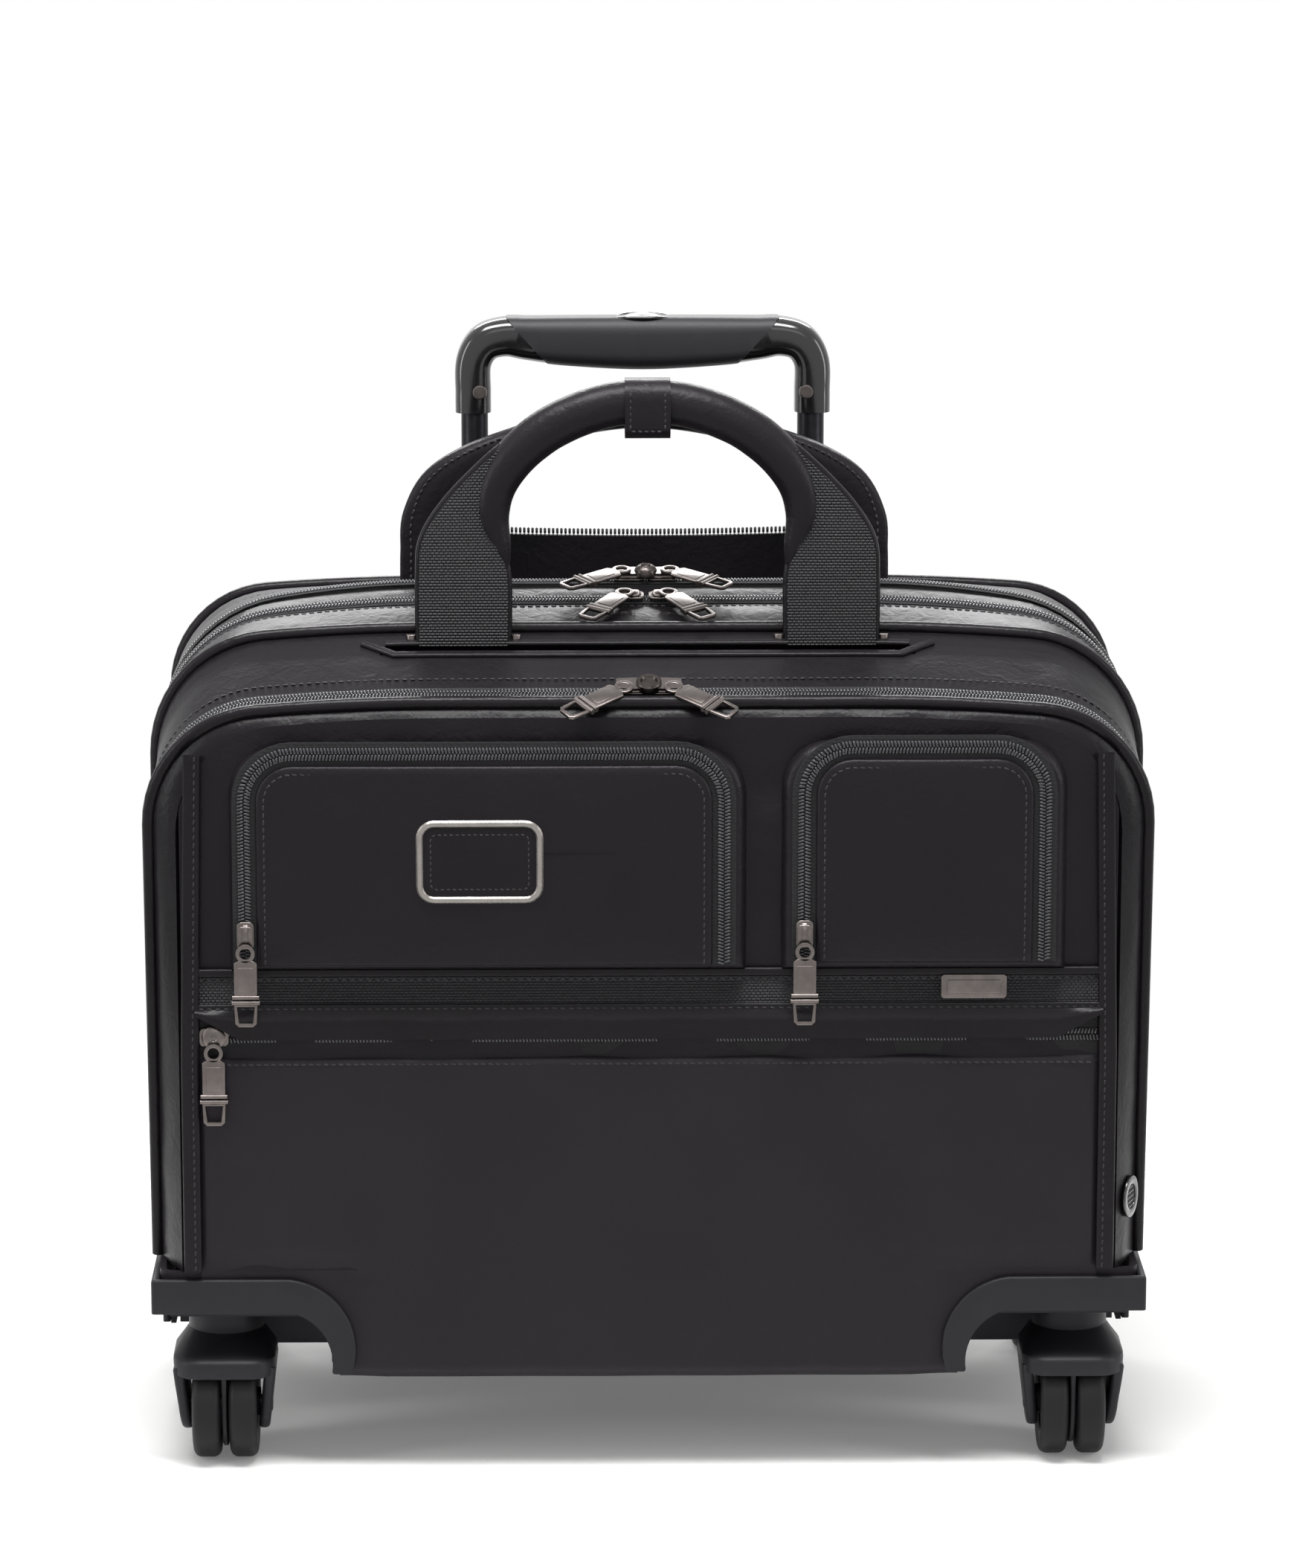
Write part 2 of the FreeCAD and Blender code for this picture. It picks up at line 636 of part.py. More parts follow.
# Zip sliders
def slider(place, angle, way, drape, rise):
    """Slider lying on its zip; its pull drapes to the given side and forward, down the crown."""
    body = box(-7, 7, -4, 4, 0, 2.6)
    body = body.makeFillet(1.0, body.Edges)
    x0, x1 = sorted((way * 2.5, way * 6))
    bridge = box(x0, x1, -2.5, 2.5, 1.0, 2.6 + rise)
    lift = 2.6 + rise + running_gap
    x0, x1 = sorted((way * 2, way * (pull_length - 4)))
    pull = box(x0, x1, -pull_width / 2, pull_width / 2, lift, lift + pull_thickness)
    window = box(min(way * 22, way * 29), max(way * 22, way * 29), -3.2, 3.2, 2, 6)
    pull = pull.cut(window)
    pull.rotate(Vector(0, 0, 0), Vector(0, 0, 1), -way * drape)
    solids = [body.fuse(bridge).removeSplitter(), pull]
    for solid in solids:
        solid.rotate(Vector(0, 0, 0), Vector(1, 0, 0), angle)
        solid.translate(Vector(*place))
    return solids


def top_sliders():
    """Two sliders on each of the three zips over the top, closed at the middle."""
    made = {}
    front_zip_y = panel_back(top_z(front_y + panel_depth)) + fold_gap + 0.6 + zip_width / 2
    for name, y in (("front", front_zip_y), ("second", second_zip_y), ("main", main_zip_y)):
        slope = math.degrees(math.atan2(top_z(y) - top_z(y - 6), 6))
        lift = (zip_thickness + running_gap) / math.cos(math.radians(slope))
        rise = lock_rise if name == "main" else 0
        for side, way in (("left", -1), ("right", 1)):
            place = (way * 7.6, y, top_z(y) + lift)
            made[name + "_zip_slider_" + side] = slider(place, slope, way, drape_angles[name], rise)
    return made


def hanging_slider(x, z, face, upright):
    """Slider on an upright face; upright ones run up and down, the others along x."""
    w, h = (4.0, 6.0) if upright else (7.0, 4.5)
    body = box(x - w, x + w, face - running_gap - 2.4, face - running_gap, z - h, z + h)
    return [body.makeFillet(0.9, body.Edges)]


def hanging_pull(x, z_top, face):
    """Flat pull with a window at its lower end, which hangs from the slider."""
    y1 = face - running_gap - 2.4 - pull_swing_gap
    pull = rounded_plate(x - pull_width / 2, x + pull_width / 2, z_top - pull_length, z_top, 2.5,
                         y1 - pull_thickness, y1)
    window = rounded_plate(x - 3.2, x + 3.2, z_top - pull_length + 4, z_top - pull_length + 15, 1.2, y1 - 5, y1 + 1)
    return [pull.cut(window)]


# Luggage tag on the left side
tag_bar_x = -half - 6.0
tag_bar_z = 262.0
tag_y = 25.0


def side_ring():
    """Sewn tab with a metal bar that the tag's strap goes round."""
    tab = box(-half - 2.5, -half, tag_y - 12, tag_y + 12, tag_bar_z - 14, tag_bar_z + 14)
    bar = rod(1.5, (tag_bar_x, tag_y - 10.5, tag_bar_z), (tag_bar_x, tag_y + 10.5, tag_bar_z))
    legs = [box(tag_bar_x - 1.5, -half, y - 1.5, y + 1.5, tag_bar_z - 1.5, tag_bar_z + 1.5)
            for y in (tag_y - 10.5, tag_y + 10.5)]
    return tab.fuse([bar] + legs).removeSplitter()


def luggage_tag():
    loop = rod(3.1, (tag_bar_x, tag_y - 6, tag_bar_z), (tag_bar_x, tag_y + 6, tag_bar_z))
    strap = box(tag_bar_x - 1.2, tag_bar_x + 1.2, tag_y - 6, tag_y + 6, 198, tag_bar_z)
    card = box(tag_bar_x - 2.4, tag_bar_x + 2.4, tag_y - 24, tag_y + 24, 110, 205)
    hole = rod(1.6, (tag_bar_x, tag_y - 8, tag_bar_z), (tag_bar_x, tag_y + 8, tag_bar_z))
    return loop.fuse([strap, card]).removeSplitter().cut(hole)


def build():
    low = fold_z + fold_gap
    save("base_pan", [base_pan()])
    save("lower_gusset", [lower_gusset()])
    save("rear_gusset", [rear_gusset()])
    save("back_panel", [back_panel()])
    save("rear_piping", [piping(back_y - piping_radius, low)])
    save("corner_guards", [corner_guard(*c) for c in corners()])
    save("caster_sockets", [caster_socket(x, y) for _, x, y in caster_places()])
    save("bay_wall", [bay_wall()])
    save("laptop_divider", [laptop_divider()])
    save("main_zip", [zip_band(main_zip_y, 150, section_back_y + fold_gap, back_y - wall)])
    save("side_ring", [side_ring()])

    save("outer_tubes", tube_pair(outer_tube_radius, middle_tube_radius + tube_clearance,
                                  outer_tube_bottom, bezel_top - bezel_thickness))
    save("tube_bezel", [tube_bezel()])
    save("tube_bracket", [tube_bracket()])
    save("middle_tubes", tube_pair(middle_tube_radius, inner_tube_radius + tube_clearance,
                                   outer_tube_bottom + running_gap, bezel_top + 1))
    save("inner_tubes", tube_pair(inner_tube_radius, inner_tube_radius - tube_wall,
                                  inner_tube_bottom, grip_leg_bottom + grip_socket_depth))
    save("grip_elbows", [grip_elbow(-1), grip_elbow(1)])
    save("grip_core", [grip_core()])
    save("grip_screws", [grip_screw(-1), grip_screw(1)])
    save("push_button", [push_button()])

    save("front_handle", [front_handle()])
    save("rear_handle", [rear_handle()])
    save("handle_studs", handle_studs())

    save("section_gusset", [section_gusset()])
    save("slip_pocket_walls", slip_pocket_walls())
    save("second_piping", [piping(second_piping_y, low)])
    save("front_zip", [front_zip()])
    save("second_zip", [zip_band(second_zip_y, 150, front_y, section_back_y)])

    save("front_panel", [front_panel()])
    save("drain_eyelet", [drain_eyelet()])
    save("front_piping", [piping(front_y + panel_depth - piping_radius, low + fold_gap, panel_lean)])
    save("front_pockets", pocket_bodies())
    save("pocket_flaps", pocket_flaps())
    save("metal_trim", metal_trim())
    save("panel_zips", panel_zips())
    save("trim_band", [trim_band()])
    save("band_lip", [band_lip()])
    save("lower_panel", [lower_panel()])

    for name, x, y in caster_places():
        save("fork_" + name, caster_fork(x, y))
        save("wheels_" + name, wheel_pair(x, y))

    for name, solids in top_sliders().items():
        save(name, solids)
    pocket_face = front_y - pocket_depth - zip_thickness
    for name, x in (("left", left_flap[0] - 5), ("right", right_flap[0] - 5)):
        save(name + "_pocket_slider", hanging_slider(x, 248, pocket_face, True))
        save(name + "_pocket_pull", hanging_pull(x, 245, pocket_face))
    save("lower_slider", hanging_slider(-192, lower_zip_z, front_y - zip_thickness, False))
    save("lower_pull", hanging_pull(-192, 198, front_y - zip_thickness))
    save("luggage_tag", [luggage_tag()])


build()
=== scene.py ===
import math
from math import asin, cos, pi, radians, sin

import bmesh
import bpy
from mathutils import Matrix, Vector, noise


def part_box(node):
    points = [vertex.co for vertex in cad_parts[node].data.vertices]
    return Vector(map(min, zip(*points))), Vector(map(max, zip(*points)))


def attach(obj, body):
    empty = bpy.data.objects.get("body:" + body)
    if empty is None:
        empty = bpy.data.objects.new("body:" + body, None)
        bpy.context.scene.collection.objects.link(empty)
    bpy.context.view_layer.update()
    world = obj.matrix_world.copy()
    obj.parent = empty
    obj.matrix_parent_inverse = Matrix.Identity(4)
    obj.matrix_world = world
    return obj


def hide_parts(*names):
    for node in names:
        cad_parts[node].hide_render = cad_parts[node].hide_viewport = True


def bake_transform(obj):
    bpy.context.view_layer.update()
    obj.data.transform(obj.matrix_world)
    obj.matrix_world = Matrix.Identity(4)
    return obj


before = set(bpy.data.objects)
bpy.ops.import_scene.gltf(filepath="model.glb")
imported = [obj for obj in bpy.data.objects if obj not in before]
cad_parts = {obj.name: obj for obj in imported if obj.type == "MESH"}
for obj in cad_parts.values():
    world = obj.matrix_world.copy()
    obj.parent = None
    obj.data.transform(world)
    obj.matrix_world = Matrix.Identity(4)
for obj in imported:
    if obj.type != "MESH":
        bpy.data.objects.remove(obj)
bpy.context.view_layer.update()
mm = 0.001  # every length below is in millimetres until a mesh is made


# Small tools for shapes.

def boxesInMm():
    found = {}
    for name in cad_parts:
        low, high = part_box(name)
        found[name] = (low * 1000, high * 1000)
    return found


at = boxesInMm()


def middle(node):
    return (at[node][0] + at[node][1]) / 2


def circle(radius, sides=12):
    return [(radius * cos(2 * pi * i / sides), radius * sin(2 * pi * i / sides)) for i in range(sides)]


def roundedRect(x0, x1, z0, z1, radius, steps=6, topOnly=False):
    corners = [(x1 - radius, z1 - radius, 0), (x0 + radius, z1 - radius, 1),
               (x0 + radius, z0 + radius, 2), (x1 - radius, z0 + radius, 3)]
    points = []
    for cx, cz, quarter in corners:
        if topOnly and quarter > 1:
            points.append((x0 if quarter == 2 else x1, z0))
            continue
        for i in range(steps + 1):
            a = pi / 2 * (quarter + i / steps)
            points.append((cx + radius * cos(a), cz + radius * sin(a)))
    return points


def smoothPath(points, steps=6):
    # Catmull-Rom through the points
    points = [Vector(p) for p in points]
    padded = [points[0] * 2 - points[1]] + points + [points[-1] * 2 - points[-2]]
    line = []
    for a, b, c, d in zip(padded, padded[1:], padded[2:], padded[3:]):
        for i in range(steps):
            t = i / steps
            line.append(0.5 * (2 * b + (c - a) * t + (2 * a - 5 * b + 4 * c - d) * t * t
                               + (3 * b - 3 * c + d - a) * t ** 3))
    return line + [points[-1]]


def grid(rows, closed=False, keep=None):
    # sheet through rows of points; its outer side is row direction x column direction
    wide = len(rows[0])
    points = [tuple(p) for row in rows for p in row]
    faces = []
    for i in range(len(rows) - 1):
        for j in range(wide if closed else wide - 1):
            k = (j + 1) % wide
            corners = (i * wide + j, (i + 1) * wide + j, (i + 1) * wide + k, i * wide + k)
            if keep and not keep(sum((Vector(points[c]) for c in corners), Vector()) / 4):
                continue
            faces.append(corners)
    return points, faces


def sweep(path, section, up=(0, 1, 0), closed=False, sizes=None, ups=None):
    # carries a closed section of (side, lift) points along a path
    path = [Vector(p) for p in path]
    count, sides = len(path), len(section)
    rings = []
    for i, p in enumerate(path):
        before = path[i - 1] if i or closed else p
        after = path[(i + 1) % count] if i < count - 1 or closed else p
        along = (after - before).normalized()
        lift = Vector(ups[i] if ups else up)
        lift = (lift - along * lift.dot(along)).normalized()
        side = along.cross(lift)
        su, sv = sizes[i] if sizes else (1, 1)
        rings.append([p + side * u * su + lift * v * sv for u, v in section])
    points = [tuple(q) for ring in rings for q in ring]
    faces = []
    for i in range(count if closed else count - 1):
        n = (i + 1) % count
        for j in range(sides):
            k = (j + 1) % sides
            faces.append((i * sides + j, i * sides + k, n * sides + k, n * sides + j))
    if not closed:
        faces.append(tuple(range(sides)))
        faces.append(tuple(range((count - 1) * sides, count * sides)))
    return points, faces


def inset(points, distance):
    moved, count = [], len(points)
    for i in range(count):
        before, here, after = (Vector(points[(i + k) % count]) for k in (-1, 0, 1))
        a, b = (here - before), (after - here)
        a = a.normalized() if a.length > 1e-9 else b.normalized()
        b = b.normalized() if b.length > 1e-9 else a
        normal = Vector((-(a.y + b.y), a.x + b.x)).normalized()
        moved.append(tuple(here + normal * distance / max(0.4, normal.dot(Vector((-b.y, b.x))))))
    return moved


def plate(points, low, high, edge, place=None, steps=3, back=True):
    # flat piece from a counter-clockwise outline, with its rims rounded by edge
    stack = []
    if back:
        stack = [(edge * (1 - sin(pi / 2 * i / steps)), low + edge * (1 - cos(pi / 2 * i / steps)))
                 for i in range(steps + 1)]
    else:
        stack = [(0.0, low)]
    stack += [(edge * (1 - cos(pi / 2 * i / steps)), high - edge * (1 - sin(pi / 2 * i / steps)))
              for i in range(steps + 1)]
    rings = [[(u, v, depth) for u, v in inset(points, shrink)] for shrink, depth in stack]
    count = len(points)
    verts = [p for ring in rings for p in ring]
    faces = [tuple(reversed(range(count)))]
    for i in range(len(rings) - 1):
        for j in range(count):
            k = (j + 1) % count
            faces.append((i * count + j, i * count + k, (i + 1) * count + k, (i + 1) * count + j))
    faces.append(tuple(range((len(rings) - 1) * count, len(rings) * count)))
    return moved((verts, faces), place) if place else (verts, faces)


def lathe(profile, centre, axis=(1, 0, 0), sides=48):
    # profile of (distance along the axis, radius), turned round it
    axis = Vector(axis).normalized()
    across = axis.orthogonal().normalized()
    other = axis.cross(across)
    rows = [[Vector(centre) + axis * a + (across * cos(2 * pi * i / sides) + other * sin(2 * pi * i / sides)) * r
             for i in range(sides)] for a, r in profile]
    points, faces = grid(rows, closed=True)
    if profile[0] != profile[-1]:
        faces.append(tuple(range(sides)))
        faces.append(tuple(range(len(points) - sides, len(points))))
    return points, faces


def moved(shape, matrix):
    return [tuple(matrix @ Vector(p)) for p in shape[0]], shape[1]


def axesAt(origin, u, v):
    # matrix that lays local x along u and y along v at origin
    u = Vector(u).normalized()
    v = (Vector(v) - u * Vector(v).dot(u)).normalized()
    turned = Matrix((u, v, u.cross(v))).transposed().to_4x4()
    return Matrix.Translation(Vector(origin)) @ turned


def onFront(y, x=0.0, z=0.0):
    # local x to the right, y up and z out of the front face
    return axesAt((x, y, z), (1, 0, 0), (0, 0, 1))


def spaced(line, pitch):
    # (point, direction, normal) every pitch along a line of (point, normal)
    found, left = [], pitch / 2
    for (p, n), (q, m) in zip(line, line[1:]):
        length = (q - p).length
        while left <= length and length > 0:
            t = left / length
            found.append((p.lerp(q, t), (q - p).normalized(), n.lerp(m, t).normalized()))
            left += pitch
        left -= length
    return found


def bead(centre, along, lift, length, radius, flat=0.8):
    # small thread or coil: a rounded bar
    side = along.cross(lift)
    points = [centre - along * length / 2]
    for end, wide in ((-0.32, 1.0), (0.32, 1.0)):
        for i in range(6):
            a = 2 * pi * i / 6
            points.append(centre + along * length * end
                          + side * radius * wide * cos(a) + lift * radius * flat * sin(a))
    points.append(centre + along * length / 2)
    faces = [(0, 1 + (i + 1) % 6, 1 + i) for i in range(6)]
    faces += [(1 + i, 1 + (i + 1) % 6, 7 + (i + 1) % 6, 7 + i) for i in range(6)]
    faces += [(13, 7 + i, 7 + (i + 1) % 6) for i in range(6)]
    return [tuple(p) for p in points], faces


stitch = {"pitch": 3.5, "length": 2.5, "radius": 0.42, "slant": 0.12}


def stitches(line, pitch=None, length=None, sunk=0.15):
    shapes = []
    for p, along, lift in spaced(line, pitch or stitch["pitch"]):
        side = along.cross(lift)
        way = (along + side * stitch["slant"]).normalized()
        shapes.append(bead(p - lift * sunk, way, lift, length or stitch["length"], stitch["radius"]))
    return shapes


coil = {"pitch": 1.5, "reach": 3.4, "radius": 0.62, "offset": 1.45, "tape": 15.0, "tapeThick": 0.7}


def coilTeeth(line, lift=0.5):
    # two rows of nylon coil that mesh at the middle
    shapes = []
    for row, way in ((0, -1), (1, 1)):
        for p, along, up in spaced(line, coil["pitch"]):
            side = along.cross(up)
            here = p + along * coil["pitch"] / 2 * row + side * coil["offset"] * way + up * lift
            shapes.append(bead(here, (side * way + along * 0.25).normalized(), up, coil["reach"],
                               coil["radius"], 1.0))
    return shapes


def tape(line, width=None):
    width = (width or coil["tape"]) / 2
    thick = coil["tapeThick"] / 2
    section = [(-width, -thick), (width, -thick), (width, thick * 0.4), (3.1, thick), (-3.1, thick),
               (-width, thick * 0.4)]
    return sweep([p for p, n in line], section, ups=[n for p, n in line])


def ruffle(p, size, depth, seed=0.0):
    return depth * noise.noise(Vector((p[0] / size + seed, p[1] / size, p[2] / size)))


def sheetOf(points):
    return [(Vector(p), Vector((0, -1, 0))) for p in points]


finishes = {}


def piece(name, finish, shapes, body=None, stands=(), sheet=False, thick=None, inner=None,
          crease=None):
    # one mesh from several shapes, which rides on a body
    points, faces = [], []
    for verts, polys in (shapes if isinstance(shapes, list) else [shapes]):
        start = len(points)
        points += [(x * mm, y * mm, z * mm) for x, y, z in verts]
        faces += [tuple(start + i for i in poly) for poly in polys]
    data = bpy.data.meshes.new(name)
    data.from_pydata(points, [], faces)
    if not sheet:
        bm = bmesh.new()
        bm.from_mesh(data)
        bmesh.ops.recalc_face_normals(bm, faces=bm.faces)
        bm.to_mesh(data)
        bm.free()
    else:
        bm = bmesh.new()
        bm.from_mesh(data)
        loose = [v for v in bm.verts if not v.link_faces]
        bmesh.ops.delete(bm, geom=loose, context="VERTS")
        for edge in bm.edges:
            edge.smooth = not edge.is_boundary
        bm.to_mesh(data)
        bm.free()
    data.materials.append(finishes[finish])
    obj = bpy.data.objects.new(name, data)
    bpy.context.scene.collection.objects.link(obj)
    data.shade_smooth()
    if not sheet:
        data.set_sharp_from_angle(angle=radians(crease or 50))
    if thick:
        shell = obj.modifiers.new("thickness", "SOLIDIFY")
        shell.thickness, shell.offset = thick * mm, -1
        if inner:
            data.materials.append(finishes[inner])
            shell.material_offset = 1
    if body:
        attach(obj, body)
    if stands:
        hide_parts(*stands)
    return obj


def soften(node, finish, width=0.0, segments=3):
    # a CAD piece kept as it is, with its finish and rounded edges
    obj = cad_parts[node]
    weld = obj.modifiers.new("weld", "WELD")
    weld.merge_threshold = 0.00002
    if width:
        bevel = obj.modifiers.new("edges", "BEVEL")
        bevel.width, bevel.segments = width * mm, segments
        bevel.limit_method, bevel.angle_limit = "ANGLE", radians(35)
        bevel.harden_normals = False
    obj.data.materials.clear()
    obj.data.materials.append(finishes[finish])
    obj.data.shade_smooth()
    split = obj.modifiers.new("smooth", "EDGE_SPLIT")
    split.split_angle = radians(38)
    return obj


# Finishes.

def linear(colour):
    parts = [int(colour[i:i + 2], 16) / 255 for i in (1, 3, 5)]
    return [c / 12.92 if c <= 0.04045 else ((c + 0.055) / 1.055) ** 2.4 for c in parts] + [1.0]


def perMetre(size):
    # texture scale for a pattern whose repeat is that many millimetres
    return 1000 / size


def addNode(tree, kind, links, **settings):
    node = tree.nodes.new(kind)
    for name, value in settings.items():
        setattr(node, name, value)
    for socket, source in links.items():
        if isinstance(source, bpy.types.NodeSocket):
            tree.links.new(source, node.inputs[socket])
        else:
            node.inputs[socket].default_value = source
    return node


def startFinish(name):
    made = bpy.data.materials.new(name)
    made.use_nodes = True
    made.node_tree.nodes.clear()
    finishes[name] = made
    return made.node_tree, addNode(made.node_tree, "ShaderNodeTexCoord", {}).outputs["Object"]


def closeFinish(tree, colour, roughness, normal, metallic=0.0, **more):
    shader = addNode(tree, "ShaderNodeBsdfPrincipled", {"Base Color": colour, "Roughness": roughness,
                                                        "Normal": normal,
                                                        "Metallic": metallic, **more})
    addNode(tree, "ShaderNodeOutputMaterial", {"Surface": shader.outputs[0]})


def blotches(tree, place, size, first, second, detail=3.0):
    # colour that drifts between two shades over patches of that size
    fog = addNode(tree, "ShaderNodeTexNoise", {"Vector": place, "Scale": perMetre(size), "Detail": detail})
    mix = addNode(tree, "ShaderNodeMix", {0: fog.outputs[0], 6: linear(first), 7: linear(second)},
                  data_type="RGBA")
    return mix.outputs[2]


leather = {  # lit shade, deep shade, lowest and highest roughness
    "napa": ("#1d191d", "#131114", 0.33, 0.45),
    "foldedLeather": ("#1b181b", "#110f11", 0.25, 0.36),
    # the lower leather is a lighter copy of the napa: its base colour carries a painted sheen, the floor's
    # bounce light on the lower panel and on the band round the base
    "lowerLeatherPaintedSheen": ("#252126", "#1d1a1e", 0.40, 0.52),
    "gussetLeather": ("#191619", "#0f0e10", 0.30, 0.42),
}
grain = {"pore": 1.3, "poreDepth": 0.07, "crease": 9.0, "creaseDepth": 0.35, "cloud": 60.0, "wear": 14.0}


def leatherFinish(name, light, dark, lowRough, highRough):
    # drum-dyed napa calf: fine pores, faint creases and a soft satin sheen
    tree, place = startFinish(name)
    wear = addNode(tree, "ShaderNodeTexNoise", {"Vector": place, "Scale": perMetre(grain["wear"]),
                                                "Detail": 5.0})
    rough = addNode(tree, "ShaderNodeMapRange", {0: wear.outputs[0], 3: lowRough, 4: highRough})
    crease = addNode(tree, "ShaderNodeTexNoise", {"Vector": place, "Scale": perMetre(grain["crease"]),
                                                  "Detail": 3.0,
                                                  "Distortion": 1.2})
    soft = addNode(tree, "ShaderNodeBump", {"Height": crease.outputs[0], "Distance": grain["creaseDepth"] * mm,
                                            "Strength": 1.0})
    pores = addNode(tree, "ShaderNodeTexVoronoi", {"Vector": place, "Scale": perMetre(grain["pore"])},
                    feature="SMOOTH_F1")
    fine = addNode(tree, "ShaderNodeBump", {"Height": pores.outputs[0], "Distance": grain["poreDepth"] * mm,
                                            "Strength": 1.0, "Normal": soft.outputs[0]})
    closeFinish(tree, blotches(tree, place, grain["cloud"], light, dark), rough.outputs[0], fine.outputs[0],
                **{"Specular IOR Level": 0.14})


weave = {"hump": 2.0, "row": 1.3, "groove": 0.42, "depth": 0.6}


def ballisticWeave():
    # ballistic nylon basket weave: rows of plump yarn humps, each row stepped by half
    tree, place = startFinish("ballisticWeave")
    apart = addNode(tree, "ShaderNodeSeparateXYZ", {0: place})
    flat = addNode(tree, "ShaderNodeCombineXYZ", {0: apart.outputs[0], 1: apart.outputs[2]})
    # the near-black mortar colour is painted shade in the grooves between the yarn humps; the humps' two tones
    # vary at random
    bricks = addNode(tree, "ShaderNodeTexBrick", {
        "Vector": flat.outputs[0], "Scale": 1.0, "Brick Width": weave["hump"] * mm,
        "Row Height": weave["row"] * mm,
        "Mortar Size": weave["groove"] * mm, "Mortar Smooth": 1.0, "Bias": 0.0,
        "Color1": linear("#28272b"), "Color2": linear("#202024"), "Mortar": linear("#080809")}, offset=0.5)
    up = addNode(tree, "ShaderNodeMath", {0: 1.0, 1: bricks.outputs[1]}, operation="SUBTRACT")
    humps = addNode(tree, "ShaderNodeBump", {"Height": up.outputs[0], "Distance": weave["depth"] * mm,
                                             "Strength": 1.0})
    closeFinish(tree, bricks.outputs[0], 0.42, humps.outputs[0], **{"Specular IOR Level": 0.25})


def clothFinish(name, light, dark, thread, rough):
    # plain woven cloth: crossed threads with a matt nap
    tree, place = startFinish(name)
    settings = {"Vector": place, "Scale": perMetre(thread) / 6.0, "Distortion": 0.4}
    warp = addNode(tree, "ShaderNodeTexWave", settings, bands_direction="DIAGONAL")
    weft = addNode(tree, "ShaderNodeTexWave", settings, bands_direction="Z")
    both = addNode(tree, "ShaderNodeMath", {0: warp.outputs[1], 1: weft.outputs[1]}, operation="MULTIPLY")
    ribbed = addNode(tree, "ShaderNodeBump", {"Height": both.outputs[0], "Distance": 0.12 * mm,
                                              "Strength": 1.0})
    closeFinish(tree, blotches(tree, place, 22, light, dark), rough, ribbed.outputs[0],
                **{"Sheen Weight": 0.1, "Specular IOR Level": 0.3})


def mouldedFinish(name, light, dark, rough, texture, depth, **more):
    # moulded plastic or rubber: fine spark texture from the mould
    tree, place = startFinish(name)
    spark = addNode(tree, "ShaderNodeTexNoise", {"Vector": place, "Scale": perMetre(texture), "Detail": 2.0})
    uneven = addNode(tree, "ShaderNodeMapRange", {0: spark.outputs[0], 3: rough - 0.05, 4: rough + 0.06})
    skin = addNode(tree, "ShaderNodeBump", {"Height": spark.outputs[0], "Distance": depth * mm,
                                            "Strength": 1.0})
    closeFinish(tree, blotches(tree, place, 18, light, dark), uneven.outputs[0], skin.outputs[0], **more)


def metalFinish(name, light, dark, rough, brush):
    # plated zinc: satin plating with faint brushing and tone that drifts in small patches
    tree, place = startFinish(name)
    hairs = addNode(tree, "ShaderNodeTexNoise", {"Vector": place, "Scale": perMetre(brush), "Detail": 3.0})
    uneven = addNode(tree, "ShaderNodeMapRange", {0: hairs.outputs[0], 3: rough - 0.07, 4: rough + 0.09})
    skin = addNode(tree, "ShaderNodeBump", {"Height": hairs.outputs[0], "Distance": 0.015 * mm,
                                            "Strength": 1.0})
    closeFinish(tree, blotches(tree, place, 5, light, dark), uneven.outputs[0], skin.outputs[0], metallic=1.0)


for name, values in leather.items():
    leatherFinish(name, *values)
ballisticWeave()
clothFinish("zipTape", "#1c1c1e", "#131315", 0.9, 0.8)
clothFinish("lining", "#3a3a3e", "#323236", 1.1, 0.75)
clothFinish("threads", "#2b292c", "#1d1b1e", 0.6, 0.5)
mouldedFinish("nylonCoil", "#3d3d40", "#242427", 0.22, 2.0, 0.01)
mouldedFinish("mouldedNylon", "#242327", "#1c1b1f", 0.44, 0.7, 0.04, **{"Specular IOR Level": 0.2})
mouldedFinish("glossAbs", "#0e0e10", "#09090a", 0.16, 3.0, 0.006,
              **{"Coat Weight": 0.4, "Coat Roughness": 0.08})
mouldedFinish("softTouch", "#242427", "#1d1d20", 0.5, 0.6, 0.05, **{"Specular IOR Level": 0.3})
mouldedFinish("buttonNylon", "#2c2222", "#221a1a", 0.34, 0.8, 0.02)
mouldedFinish("castorRubber", "#19191b", "#111112", 0.50, 1.2, 0.05, **{"Specular IOR Level": 0.2})
metalFinish("anodisedTube", "#2a2a2d", "#1c1c1f", 0.34, 1.0)
metalFinish("gunmetal", "#77706d", "#57514f", 0.3, 0.8)
metalFinish("satinNickel", "#a39e99", "#86817c", 0.28, 0.9)
print("finishes made:", len(finishes))


# Camera, light and floor.

studio = {"camera": (-41.0, -2792.8, 893.2), "tilt": 12.5, "yaw": 0.84, "lens": 144.2, "shiftY": 0.0218,
          "floor": 9000.0, "key": 30.0, "side": 7.0, "front": 5.0, "back": 16.0, "ambient": 0.2,
          "floorLift": 0.13, "fadeFrom": 420.0, "fadeTo": 800.0}


def lamp(name, place, target, size, power):
    light = bpy.data.lights.new(name, "AREA")
    light.shape, light.size, light.size_y = "RECTANGLE", size[0] * mm, size[1] * mm
    light.energy = power
    obj = bpy.data.objects.new(name, light)
    bpy.context.scene.collection.objects.link(obj)
    obj.location = Vector(place) * mm
    obj.rotation_euler = (Vector(target) - Vector(place)).to_track_quat("-Z", "Y").to_euler()
    return obj


